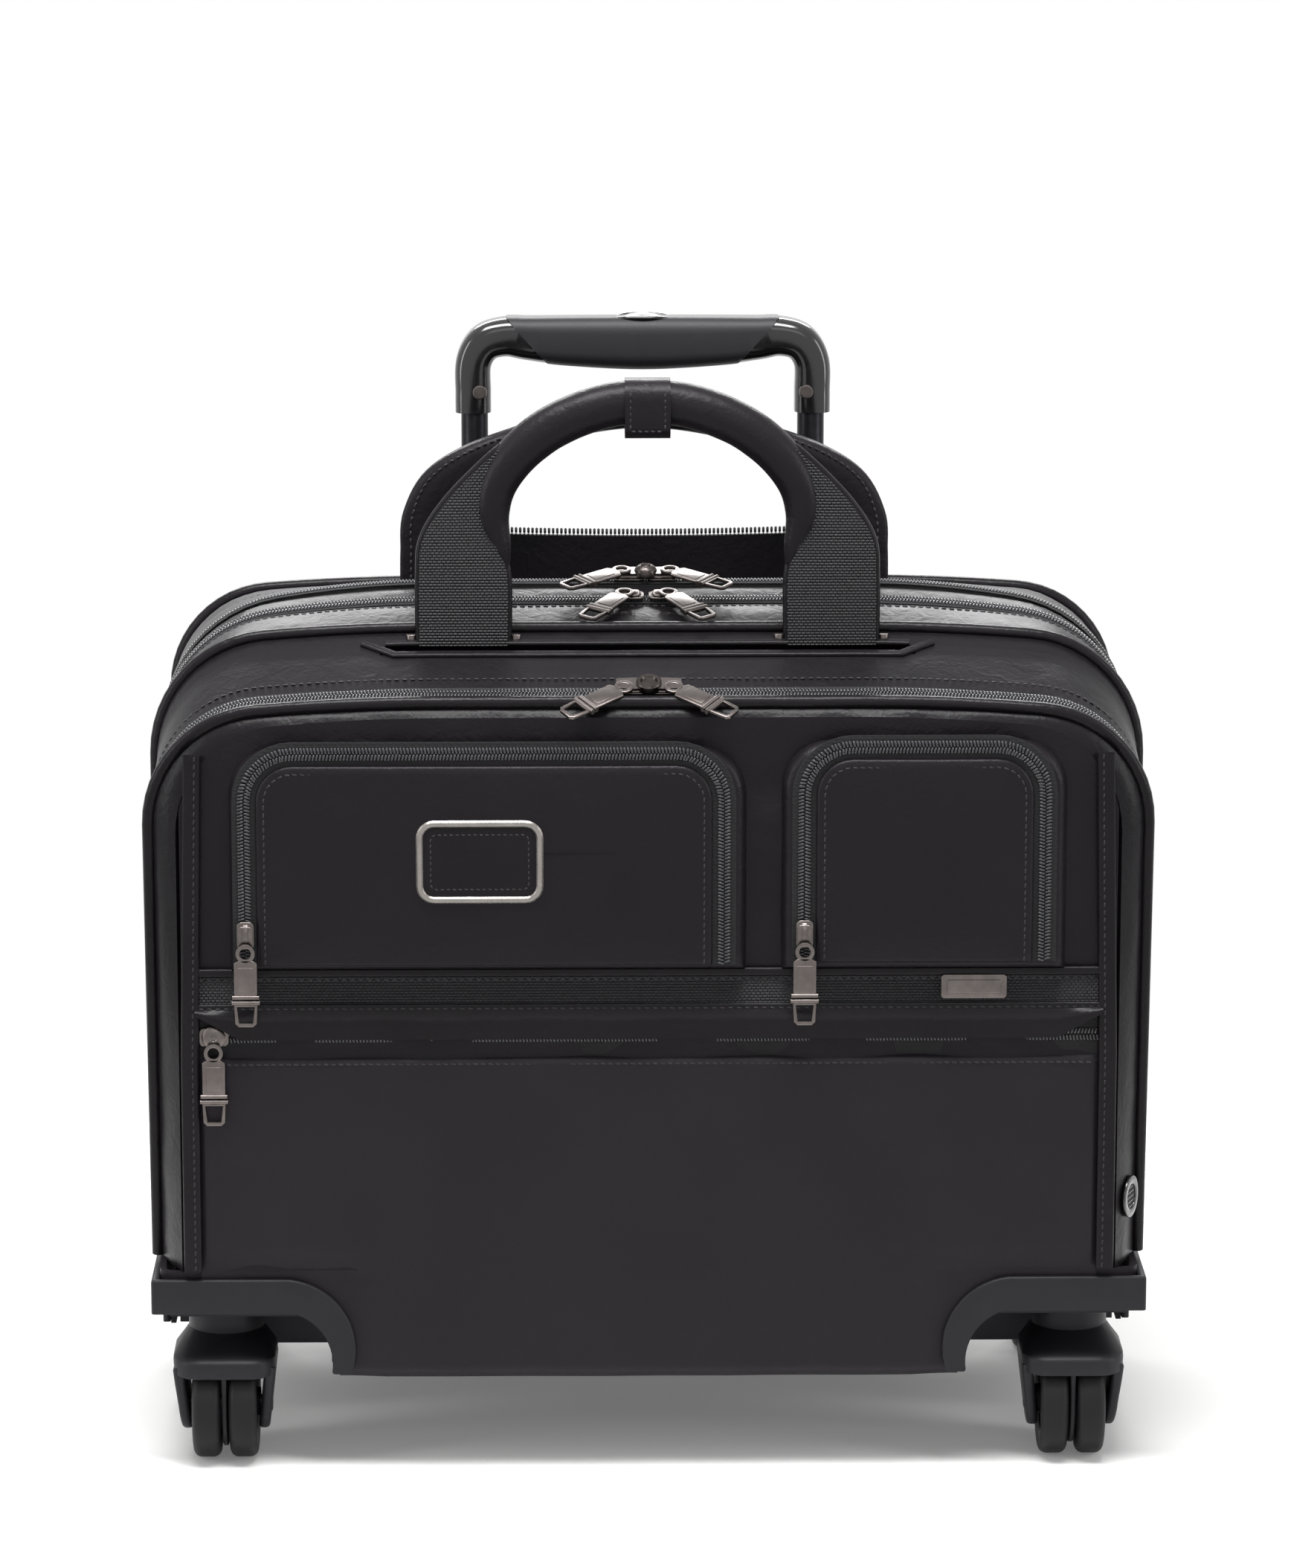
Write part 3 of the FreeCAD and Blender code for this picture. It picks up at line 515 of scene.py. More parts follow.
def seenWhite(tree):
    # 1 for camera, mirror and see-through rays, 0 for the rays that light the object
    rays = addNode(tree, "ShaderNodeLightPath", {})
    first = addNode(tree, "ShaderNodeMath",
                    {0: rays.outputs["Is Camera Ray"], 1: rays.outputs["Is Glossy Ray"]},
                    operation="MAXIMUM")
    both = addNode(tree, "ShaderNodeMath", {0: first.outputs[0], 1: rays.outputs["Is Transmission Ray"]},
                   operation="MAXIMUM")
    return both.outputs[0]


def makeStudio():
    scene = bpy.context.scene
    scene.view_settings.view_transform = "Standard"
    camera = bpy.data.cameras.new("camera")
    camera.lens, camera.sensor_width, camera.shift_y = studio["lens"], 36, studio["shiftY"]
    camera.clip_end = 100
    holder = bpy.data.objects.new("camera", camera)
    scene.collection.objects.link(holder)
    holder.location = Vector(studio["camera"]) * mm
    holder.rotation_euler = (radians(90 - studio["tilt"]), 0, -radians(studio["yaw"]))
    scene.camera = holder

    lamp("keyAbove", (-100, -350, 1500), (0, 0, 250), (1100, 420), studio["key"])
    lamp("leftSide", (-1500, -500, 700), (0, 0, 200), (350, 1100), studio["side"])
    lamp("rightSide", (1500, -500, 700), (0, 0, 200), (350, 1100), studio["side"])
    lamp("frontFill", (200, -2600, 1500), (0, 0, 200), (1600, 900), studio["front"])
    lamp("backRim", (0, 1300, 1100), (0, 0, 330), (1300, 320), studio["back"])

    world = bpy.data.worlds.new("studio")
    scene.world = world
    world.use_nodes = True
    tree = world.node_tree
    tree.nodes.clear()
    strength = addNode(tree, "ShaderNodeMapRange", {0: seenWhite(tree), 3: studio["ambient"], 4: 1.0})
    sky = addNode(tree, "ShaderNodeBackground", {0: (1, 1, 1, 1), 1: strength.outputs[0]})
    addNode(tree, "ShaderNodeOutputWorld", {0: sky.outputs[0]})

    # painted floor: matt white near the case, where it takes the shadow, and white to the eye beyond
    paint = bpy.data.materials.new("mattFloorPaint")
    paint.use_nodes = True
    tree = paint.node_tree
    tree.nodes.clear()
    shader = addNode(tree, "ShaderNodeBsdfDiffuse", {0: linear("#f4f4f3")})
    place = addNode(tree, "ShaderNodeTexCoord", {}).outputs["Object"]
    away = addNode(tree, "ShaderNodeVectorMath", {0: place}, operation="LENGTH")
    fade = addNode(tree, "ShaderNodeMapRange", {0: away.outputs["Value"], 1: studio["fadeFrom"] * mm,
                                                2: studio["fadeTo"] * mm}, interpolation_type="SMOOTHSTEP")
    white = seenWhite(tree)
    share = addNode(tree, "ShaderNodeMath", {0: fade.outputs[0], 1: white}, operation="MULTIPLY")
    glow = addNode(tree, "ShaderNodeEmission", {0: (1, 1, 1, 1), 1: 1.0})
    lift = addNode(tree, "ShaderNodeEmission", {0: (1, 1, 1, 1), 1: studio["floorLift"]})
    raised = addNode(tree, "ShaderNodeMixShader", {0: white, 2: lift.outputs[0]})
    lit = addNode(tree, "ShaderNodeAddShader", {0: shader.outputs[0], 1: raised.outputs[0]})
    both = addNode(tree, "ShaderNodeMixShader", {0: share.outputs[0], 1: lit.outputs[0], 2: glow.outputs[0]})
    addNode(tree, "ShaderNodeOutputMaterial", {0: both.outputs[0]})
    finishes["mattFloorPaint"] = paint
    reach = studio["floor"] / 2
    floor = piece("floor", "mattFloorPaint",
                  grid([[(x, y, 0) for y in (-reach, reach)] for x in (-reach, reach)]),
                  sheet=True)


makeStudio()
print("studio made")

# Shape of the case.

halfWide = at["rear_gusset"][1].x
frontY = at["front_panel"][0].y
backY = at["back_panel"][1].y
foldZ = at["lower_gusset"][1].z
baseZ = at["lower_gusset"][0].z
caseShape = {"flatHalf": 92.0, "stations": [  # depth, top height, shoulder radius, crown angle
    (frontY, 345.0, 50.0, 5.0), (-50.0, 371.0, 52.0, 5.0), (1.0, 383.0, 62.0, 10.0),
    (backY, 361.0, 45.0, 4.0)],
    "panelDepth": 8.0, "panelDepthLow": 32.0, "panelTop": 345.0}


def station(y):
    rows = caseShape["stations"]
    y = min(max(y, rows[0][0]), rows[-1][0])
    for a, b in zip(rows, rows[1:]):
        if y <= b[0]:
            t = (y - a[0]) / (b[0] - a[0])
            return [p + (q - p) * t for p, q in zip(a[1:], b[1:])]


def topZ(y):
    return station(y)[0]


def slope(y):
    return math.atan2(topZ(min(y + 2, backY)) - topZ(y - 2), 4)


def arcs(y, grow):
    top, small, angle = station(y)
    tilt = radians(angle)
    wide, top, small = halfWide + grow, top + grow, small + grow
    flat = caseShape["flatHalf"]
    large = (wide - flat - small * (1 - sin(tilt))) / sin(tilt)
    return wide, top, small, large, top - large * (1 - cos(tilt)) - small * cos(tilt), tilt, flat


def halfOutline(y, grow=0.0, low=None, stop=0.0, sides=18):
    # (point, outward normal) up the right side and over to x = stop
    wide, top, small, large, centreZ, tilt, flat = arcs(y, grow)
    low = foldZ + 0.4 if low is None else low
    line = [((wide, y, low + (centreZ - low) * i / sides), (1, 0, 0)) for i in range(sides)]
    for i in range(12):
        a = (pi / 2 - tilt) * i / 12
        line.append(((wide - small + small * cos(a), y, centreZ + small * sin(a)), (cos(a), 0, sin(a))))
    last = 0.0 if stop <= flat else asin((stop - flat) / large)
    for i in range(13):
        a = tilt + (last - tilt) * i / 12
        line.append(((flat + large * sin(a), y, top - large * (1 - cos(a))), (sin(a), 0, cos(a))))
    if stop < flat:
        line += [((flat + (stop - flat) * i / 12, y, top), (0, 0, 1)) for i in range(1, 13)]
    return [(Vector(p), Vector(n)) for p, n in line]


def flipped(line):
    return [(Vector((-p.x, p.y, p.z)), Vector((-n.x, n.y, n.z))) for p, n in line]


def outline(y, grow=0.0, low=None, sides=18):
    right = halfOutline(y, grow, low, 0.0, sides)
    return right + flipped(reversed(right[:-1]))


def panelBack(z):
    # slanted plane behind the front panel
    rise = (z - foldZ) / (caseShape["panelTop"] - foldZ)
    return frontY + caseShape["panelDepthLow"] + (caseShape["panelDepth"] - caseShape["panelDepthLow"]) * rise


def slanted(behind, grow=0.0, low=None):
    # outline laid in a plane parallel to the back of the front panel
    line = outline(panelBack(caseShape["panelTop"]) + behind, grow, low)
    return [(Vector((p.x, panelBack(p.z) + behind, p.z)), n) for p, n in line]


def gusset(first, last, steps, bulge, seed, creases=0.5):
    # padded band between two outlines: it swells a little between its seams
    rows = []
    for i in range(steps + 1):
        t = i / steps
        row = []
        for (a, n), (b, m) in zip(first, last):
            p, up = a.lerp(b, t), n.lerp(m, t)
            push = bulge * sin(pi * t) ** 0.7 + (ruffle(p, 26, creases, seed)
                                                 + ruffle(p, 9, creases * 0.3, seed)) * sin(pi * t)
            row.append(p + up * push)
        rows.append(row)
    return rows


def cord(line, radius, sides=12, tuck=0.8):
    # filled piping: a tube on the seam with its tape tucked in
    return sweep([p + n * tuck for p, n in line], circle(radius, sides), up=(0, 1, 0))


shell = {"thick": 3.6, "piping": 2.9}


def makeShell():
    sectionLine = slanted(0.8)
    sectionBack = outline(at["section_gusset"][1].y)
    pipe2 = outline(at["second_piping"][0].y + shell["piping"])
    slip = (at["slip_pocket_walls"][0].y + 2.5, at["slip_pocket_walls"][1].y - 2.5)
    slipHalf = 118.0

    def band(name, first, last, steps, bulge, seed, body, stands=(), keep=None):
        rows = gusset(first, last, steps, bulge, seed)
        return piece(name, "gussetLeather", grid(rows, keep=keep), body, stands, sheet=True,
                     thick=shell["thick"], inner="lining")

    slipFront = [(Vector((p.x, panelBack(p.z) + 0.8 + (slip[0] - panelBack(caseShape["panelTop"])), p.z)), n)
                 for p, n in outline(slip[0])]
    slipFront = [(Vector((p.x, min(p.y, slip[0]) if abs(p.x) > slipHalf else slip[0], p.z)), n)
                 for p, n in slipFront]
    band("frontGusset", sectionLine, slipFront, 10, 0.6, 3.1, "front_section", ["section_gusset"])
    slipBack = outline(slip[1])
    edges = [slipFront, slipBack]
    mouth = grid([[p for p, n in edges[0]], [p for p, n in edges[1]]],
                 keep=lambda c: not (abs(c.x) < slipHalf and c.z > foldZ + 200))
    piece("slipMouth", "gussetLeather", mouth, "front_section", sheet=True, thick=shell["thick"],
          inner="lining")
    band("middleGusset", slipBack, pipe2, 4, 0.3, 5.7, "front_section")
    band("secondGusset", pipe2, outline(at["second_zip"][0].y), 9, 0.9, 7.3, "front_section")
    band("zipGusset", outline(at["second_zip"][1].y), sectionBack, 3, 0.2, 9.9, "front_section")

    # main compartment, with the mouth of the trolley bay left open on top
    mainFront = outline(at["main_zip"][1].y)
    bayFront = outline(at["bay_wall"][0].y + 3)
    bayHalf = 125.0
    band("rearGusset", mainFront, bayFront, 14, 1.4, 11.0, "case", ["rear_gusset"])
    seam = [(Vector((p.x, at["rear_gusset"][0].y, p.z)), n) for p, n in mainFront]
    piece("mainZipUnderlay", "zipTape",
          grid([[p - n * 1.0 for p, n in seam], [p - n * 1.0 for p, n in mainFront]]),
          "case", sheet=True, thick=1.0)
    for side, turn in (("right", 1), ("left", -1)):
        a, b = (halfOutline(y, 0, None, bayHalf) for y in (at["bay_wall"][0].y + 3, at["rear_gusset"][1].y))
        rows = gusset(a, b, 10, 1.0, 13.0 + turn)
        if turn < 0:
            rows = [[Vector((-p.x, p.y, p.z)) for p in reversed(row)] for row in rows]
        piece("bayGusset_" + side, "gussetLeather", grid(rows), "case", sheet=True,
              thick=shell["thick"], inner="lining")

    # pipings
    pipes = [("frontPiping", slanted(-shell["piping"] - 0.4, 1.0), "front_panel", "front_piping"),
             ("secondPiping", pipe2, "front_section", "second_piping"),
             ("rearPiping", outline(backY - shell["piping"], 0.6), "case", "rear_piping")]
    for name, line, body, node in pipes:
        piece(name, "foldedLeather", cord(line, shell["piping"]), body, [node])
    print("shell made")


makeShell()


# Front panel.

face = {"half": 206.0, "low": foldZ + 0.8, "strip": (198.5, 206.5), "bulge": 1.2}


def topAt(x, y, grow=0.0):
    # height of the outline over x
    wide, top, small, large, centreZ, tilt, flat = arcs(y, grow)
    x = abs(x)
    if x <= flat:
        return top
    knee = wide - small + small * sin(tilt)
    if x <= knee:
        return top - large + math.sqrt(large * large - (x - flat) ** 2)
    return centreZ + math.sqrt(max(0.0, small * small - (x - wide + small) ** 2))


def faceDent(x, z):
    # the leather swells between its seams, with slack creases beside and over the pockets
    edge = min(1.0, (face["half"] - abs(x)) / 25.0) * min(1.0, max(0.0, topAt(x, frontY) - z) / 18.0)
    push = face["bulge"] * edge
    between = math.exp(-((x - 52) / 9) ** 2)
    push += between * (1.1 * sin(z / 7.5) + 0.7 * sin(z / 3.9 + 1)) * max(0, min(1, (z - 236) / 20)) * 0.8
    push += ruffle((x, 0, z), 34, 1.6, 2.0) * edge + ruffle((x, 0, z), 11, 0.35, 4.0) * edge
    return push


def makeFace():
    xs = [-face["half"] + 2 * face["half"] * (0.5 - 0.5 * cos(pi * i / 110)) for i in range(111)]
    rows = []
    for x in xs:
        top = topAt(x * (halfWide - 3) / face["half"], frontY, -2.0)
        rows.append([(x, frontY - faceDent(x, z) * 0.9 - 0.2, z) for z in
                     [face["low"] + (top - face["low"]) * j / 70 for j in range(71)]])
    piece("panelFace", "napa", grid(rows), "front_panel", ["front_panel"], sheet=True, thick=3.0,
          inner="lining")

    # slanted sides, from the face to the piping, closed over the top
    outer = slanted(-shell["piping"] - 2.0, 0.0)
    inner = [(Vector((p.x * (face["half"] + 1.5) / halfWide, frontY - 0.3, p.z - 2.0 * max(0, n.z))), n)
             for p, n in outline(frontY)]
    rows = []
    for i in range(9):
        t = i / 8
        rows.append([a.lerp(b, t) + Vector((n.x * 0.8, -0.8 * abs(n.x), n.z * 0.5)) * sin(pi * t)
                     + n * ruffle(a.lerp(b, t), 20, 1.0, 8.0) * sin(pi * t)
                     for (a, n), (b, m) in zip(inner, outer)])
    piece("panelSides", "gussetLeather", grid(rows), "front_panel", sheet=True, thick=2.4,
          inner="lining")

    # folded strips down both sides of the face, each with one row of stitches
    for side, turn in (("left", -1), ("right", 1)):
        x0, x1 = face["strip"]
        mid = (x0 + x1) / 2
        path = [(turn * (mid - 3.0 * max(0, (z - 190) / 150)), frontY - 2.6, z)
                for z in [foldZ + 1 + (326 - foldZ) * i / 40 for i in range(41)]]
        section = roundedRect(-(x1 - x0) / 2, (x1 - x0) / 2, -1.6, 1.6, 1.5, 4)
        strip = sweep(path, section, up=(0, -1, 0))
        piece("sideStrip_" + side, "foldedLeather", strip, "front_panel")
        row = [(Vector(p) + Vector((-turn * 1.2, -1.6, 0)), Vector((0, -1, 0))) for p in path]
        piece("sideStripStitches_" + side, "threads", stitches(row), "front_panel")
    print("front panel made")


makeFace()


# Pockets, trim band and lower pocket.

pocket = {"left": (-172.0, 27.5, 234.0, 323.5), "right": (73.0, 168.0, 235.0, 326.0), "radius": 16.0,
          "depth": 8.0,
          "floor": at["trim_band"][1].z, "wall": {"left": (12.0, 15.0), "right": (15.0, 15.0)}, "head": 7.0,
          "swell": 2.6, "flap": 1.7, "zipOut": 5.2}


def pocketDepth(side, x, z):
    # how far the stuffed pocket stands in front of the face
    x0, x1, z0, z1 = pocket[side]
    u = (x - (x0 + x1) / 2) / ((x1 - x0) / 2 + 6)
    v = (z - (z0 + z1) / 2) / ((z1 - z0) / 2 + 6)
    full = max(0.0, 1 - abs(u) ** 3) * max(0.0, 1 - abs(v) ** 3)
    return pocket["depth"] + pocket["swell"] * full + ruffle((x, 5, z), 30, 0.9, 1.5) * full


def rings(x0, x1, z0, z1, radius, profile, depthAt, steps=7):
    # rounded-top panel as nested outlines of (distance in from the edge, height), closed in the middle
    rows = []
    for d, height in profile:
        line = roundedRect(x0 + d, x1 - d, z0 + (d if z0 < pocket["floor"] - 5 else d * 0.6), z1 - d,
                           max(radius - d, 1.5), steps, topOnly=True)
        dense = []
        for (a, b), (c, e) in zip(line, line[1:] + line[:1]):
            count = max(1, round(math.hypot(c - a, e - b) / 7)) if not dense or True else 1
            dense.append((a, b, count, c, e))
        rows.append((d, height, dense))
    counts = [max(1, q[2]) for q in rows[0][2]]
    points = []
    for d, height, dense in rows:
        row = []
        for (a, b, _, c, e), count in zip(dense, counts):
            row += [(a + (c - a) * i / count, b + (e - b) * i / count) for i in range(count)]
        points.append([(x, frontY - height - depthAt(x, z) * min(1, max(0, height)), z) if height <= 0.01
                       else (x, frontY - height - depthAt(x, z), z) for x, z in row])
    shape, faces = grid(points, closed=True)
    last = len(points[0])
    faces.append(tuple(range(len(shape) - last, len(shape))))
    return shape, faces


def overTop(x0, x1, z0, z1, radius, out, side, lift, steps=8):
    # (point, normal) line round three sides of a flap, out from its edge
    line = roundedRect(x0 - out, x1 + out, z0, z1 + out, radius + out, steps, topOnly=True)
    upper = [(x1 + out, z0 + (z1 - radius - z0) * i / 10) for i in range(10)] + line[:2 * (steps + 1)]
    upper += [(x0 - out, z1 - radius - (z1 - radius - z0) * i / 10) for i in range(1, 11)]
    return [(Vector((x, frontY - pocketDepth(side, x, z) - lift, z)), Vector((0, -1, 0))) for x, z in upper]


def makePocket(side, stands):
    x0, x1, z0, z1 = pocket[side]
    left, right = pocket["wall"][side]
    radius = pocket["radius"]
    top = z1 + pocket["head"]
    flat = lambda x, z: 0.0
    body = rings(x0 - left, x1 + right, pocket["floor"], top, radius + 5,
                 [(0, 0.0), (0.1, 2.5), (0.8, 4.8), (2.2, 6.6), (4.2, 7.6), (7.0, 8.0)], flat)
    verts = [(x, y if frontY - y < 7.5 else frontY - pocketDepth(side, x, z), z) for x, y, z in body[0]]
    pocketBody = piece("pocketWall_" + side, "napa", (verts, body[1]), "front_panel", stands[:1],
                       crease=70)
    cover = rings(x0, x1, z0, z1, radius, [(0.2, -0.6), (0.0, 0.6), (0.5, 1.3), (1.4, pocket["flap"]),
                                          (4, pocket["flap"] + 0.1), (9, pocket["flap"] + 0.3),
                                          (15, pocket["flap"] + 0.5), (22, pocket["flap"] + 0.6),
                                          (30, pocket["flap"] + 0.6), (38, pocket["flap"] + 0.6)],
                  lambda x, z: pocketDepth(side, x, z))
    cover = ([(x, frontY - pocketDepth(side, x, z) + 0.6 if i < len(cover[0]) // 10 else y, z)
              for i, (x, y, z) in enumerate(cover[0])], cover[1])
    flap = piece("pocketFlap_" + side, "napa", cover, "front_panel", stands[1:], crease=80)
    seam = overTop(x0 + 3.6, x1 - 3.6, z0, z1 - 3.6, radius - 3.6, 0.0, side, pocket["flap"] + 0.1)
    piece("pocketFlapStitches_" + side, "threads", stitches(seam, 3.3), "front_panel")
    track = overTop(x0, x1, z0, z1, radius, pocket["zipOut"], side, 0.2)
    piece("pocketZipTape_" + side, "zipTape", tape(track, 10.5), "front_panel")
    piece("pocketZipTeeth_" + side, "nylonCoil", coilTeeth(track, 0.7), "front_panel")
    return pocketBody, flap


patch = {"x": (-102.0, -46.4), "z": (262.8, 300.0), "rim": 3.2, "radius": 8.0}


def makePatch():
    x0, x1 = patch["x"]
    z0, z1 = patch["z"]
    rim = patch["rim"]
    depth = pocketDepth("left", (x0 + x1) / 2, (z0 + z1) / 2) + pocket["flap"] + 0.3
    ring = roundedRect(x0 + rim / 2, x1 - rim / 2, z0 + rim / 2, z1 - rim / 2, patch["radius"] - rim / 2, 6)
    section = [(-rim / 2, -0.9), (rim / 2, -0.9), (rim / 2, 0.5), (rim * 0.28, 1.3), (-rim * 0.28, 1.3),
               (-rim / 2, 0.5)]
    rimShape = sweep([(x, frontY - depth, z) for x, z in ring], section, up=(0, -1, 0), closed=True)
    piece("patchFrame", "satinNickel", rimShape, "front_panel", ["metal_trim"], crease=30)
    inside = roundedRect(x0 + rim - 0.5, x1 - rim + 0.5, z0 + rim - 0.5, z1 - rim + 0.5, 5.0, 6)
    leatherPad = plate(inside, -1.0, 0.7, 0.6, onFront(frontY - depth), back=False)
    piece("patchLeather", "foldedLeather", leatherPad, "front_panel")
    row = roundedRect(x0 + rim + 3.2, x1 - rim - 3.2, z0 + rim + 3.2, z1 - rim - 3.2, 2.5, 4)
    row = [(Vector((x, frontY - depth - 0.7, z)), Vector((0, -1, 0))) for x, z in row + row[:1]]
    piece("patchStitches", "threads", stitches(row, 2.6, 1.9), "front_panel")


trim = {"half": at["trim_band"][1].x, "low": at["trim_band"][0].z, "high": at["trim_band"][1].z, "top": 3.6,
        "bottom": 4.2, "plate": (128.5, 157.5, 217.0, 228.0)}


def makeTrimBand():
    half, low, high = trim["half"], trim["low"], trim["high"]
    y = at["trim_band"][0].y
    strip = plate(roundedRect(-half + 0.5, half - 0.5, low + 2.5, high - 2.0, 0.8, 2), 0, 2.5, 0.4,
                  onFront(y + 2.9))
    piece("trimWeave", "ballisticWeave", strip, "front_panel", ["trim_band"])
    for name, z0, z1 in (("trimBindingTop", high - trim["top"], high + 0.2),
                         ("trimBindingBottom", low, low + trim["bottom"])):
        path = [(-half + 2 * half * i / 60, y + 0.6 - ruffle((i * 7.0, 0, z0), 30, 0.25), (z0 + z1) / 2)
                for i in range(61)]
        section = roundedRect(-(z1 - z0) / 2, (z1 - z0) / 2, -1.2, 1.2, 1.1, 4)
        piece(name, "foldedLeather", sweep(path, section, up=(0, -1, 0)), "front_panel")
    for name, z in (("trimStitchesTop", high - trim["top"] - 1.2),
                    ("trimStitchesBottom", low + trim["bottom"] * 0.5)):
        lift = -0.6 if name.endswith("Bottom") else 0.4
        row = sheetOf([(-half + 3, y + lift, z), (half - 3, y + lift, z)])
        piece(name, "threads", stitches(row, 3.7), "front_panel")
    x0, x1, z0, z1 = trim["plate"]
    badge = [plate(roundedRect(x0, x1, z0, z1, 1.6, 4), 0, 1.2, 0.5, onFront(y)),
             plate(roundedRect(x0 + 2.6, x1 - 2.6, z0 + 2.4, z1 - 2.4, 0.8, 3), 1.0, 1.7, 0.35, onFront(y))]
    piece("namePlate", "gunmetal", badge, "front_panel", crease=30)

    # leather lip that hangs from the band over the lower zip
    rows = []
    for i in range(81):
        x = -half + 2 + (2 * half - 4) * i / 80
        reach = min(1.0, (half - 2 - abs(x)) / 20.0)
        end = low + 2 + (199.6 - low - 2) * (0.18 + 0.82 * reach)
        rows.append([(x, y - 0.2 - 2.6 * sin(pi / 2 * min(1, j / 5))
                      - ruffle((x, 0, j * 2.0), 24, 0.8, 6.0) * j / 10,
                      low + 2 + (end - low - 2) * j / 10) for j in range(11)])
    rows = [list(reversed(row)) for row in rows]
    piece("zipLip", "foldedLeather", grid(rows), "front_panel", ["band_lip"], sheet=True, thick=1.3)


well = {"reach": 79.0, "top": 78.0, "housing": 35.0}  # opening for a caster, from the corner of the case
lower = {"half": 199.0, "top": at["lower_panel"][1].z, "out": 3.0, "swell": 2.2, "zipZ": 200.0}


def makeLowerPocket():
    half, top = lower["half"], lower["top"]
    upperHalf, lowerHalf = [], []
    for i in range(91):
        x = -half + 2 * half * (0.5 - 0.5 * cos(pi * i / 90))
        edge = min(1.0, (half - abs(x)) / 3.0)

        def front(z):
            upward = min(1, max(0, (z - baseZ) / (top - baseZ)))
            swell = lower["swell"] * (1 - (x / half) ** 4) * sin(pi * upward) ** 0.6
            fold = math.sqrt(max(0.0, 1 - max(0.0, 1 - (top - z) / 2.5) ** 2)) * (0.35 + 0.65 * edge)
            under = max(0.0, 1 - (z - baseZ + 3.5) / 8.0)
            soft = ruffle((x, 3, z), 45, 0.9, 12.0) + ruffle((x, 3, z), 14, 0.15, 14.0)
            tuck = min(1, max(0, (abs(x) - 116) / 15)) * min(1, max(0, (104 - z) / 13))
            out = (lower["out"] * fold + (swell + soft) * edge) * (1 - tuck) + 0.6 * tuck
            return (x, frontY - out + 7.0 * under ** 2.2, z)
        upperHalf.append([front(foldZ + (top - foldZ) * j / 48) for j in range(49)])
        lowerHalf.append([front(baseZ - 3.2 + (foldZ - baseZ + 3.2) * j / 24) for j in range(25)])
    # the lighter lower leather here carries a painted sheen of the floor's bounce light
    panel = piece("lowerPocketLeather", "lowerLeatherPaintedSheen", grid(upperHalf), None, ["lower_panel"],
                  sheet=True,
                  thick=2.0)
    inWell = lambda c: abs(c.x) > halfWide - well["reach"] and c.z < well["top"]
    apron = piece("lowerApron", "lowerLeatherPaintedSheen", grid(lowerHalf, keep=lambda c: not inWell(c)), None,
                  sheet=True, thick=2.0)
    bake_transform(panel)
    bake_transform(apron)
    row = sheetOf([(-half + 2, frontY - lower["out"] - 0.5, top - 3.2),
                   (half - 2, frontY - lower["out"] - 0.5, top - 3.2)])
    piece("lowerPocketStitches", "threads", stitches(row, 3.3), "front_panel")
    line = sheetOf([(-half + 1 + (2 * half - 2) * i / 40, frontY - 0.5, lower["zipZ"]) for i in range(41)])
    piece("lowerZipTape", "zipTape", tape(line, 17.0), "front_panel", ["panel_zips"])
    piece("lowerZipTeeth", "nylonCoil", coilTeeth(line), "front_panel")


makePocket("left", ["front_pockets", "pocket_flaps"])
makePocket("right", [])
makePatch()
makeTrimBand()
makeLowerPocket()
print("pockets and trim made")


# Zips over the top.

def topZip(name, line, body, node):
    piece(name + "ZipTape", "zipTape", tape(line, 9.0), body, [node])
    piece(name + "ZipTeeth", "nylonCoil", coilTeeth(line), body)


def sloped(line, y):
    lean = slope(y)
    return [(p, Vector((n.x, -abs(n.z) * sin(lean), n.z)).normalized()) for p, n in line]


frontZipBehind = 4.9
frontZipY = panelBack(topZ(frontY + caseShape["panelDepth"])) + frontZipBehind
topZip("front", sloped(slanted(frontZipBehind, 0.4), -99), "front_section", "front_zip")
topZip("second", sloped(outline(middle("second_zip").y, 0.4, 118), -19), "front_section", "second_zip")
topZip("main", sloped(outline(middle("main_zip").y, 0.4, 118), 1), "case", "main_zip")


def seamRow(name, line, body, pitch=3.5):
    piece(name, "threads", stitches(line, pitch), body)


seamRow("frontGussetStitches", slanted(15.0, 0.75), "front_section")
seamRow("secondGussetStitches", outline(at["second_zip"][0].y - 3.5, 0.7), "front_section")
seamRow("mainGussetStitches", outline(at["main_zip"][1].y + 4, 0.9), "case")
seamRow("rearGussetStitches", outline(at["bay_wall"][0].y - 2, 0.8), "case")

# Sliders and pulls.

pull = {"length": 37.0, "width": 11.5, "thick": 1.6, "lift": 2.9, "mainRise": 1.6,
        "drape": {"front": 38.0, "second": 58.0, "main": 38.0}}


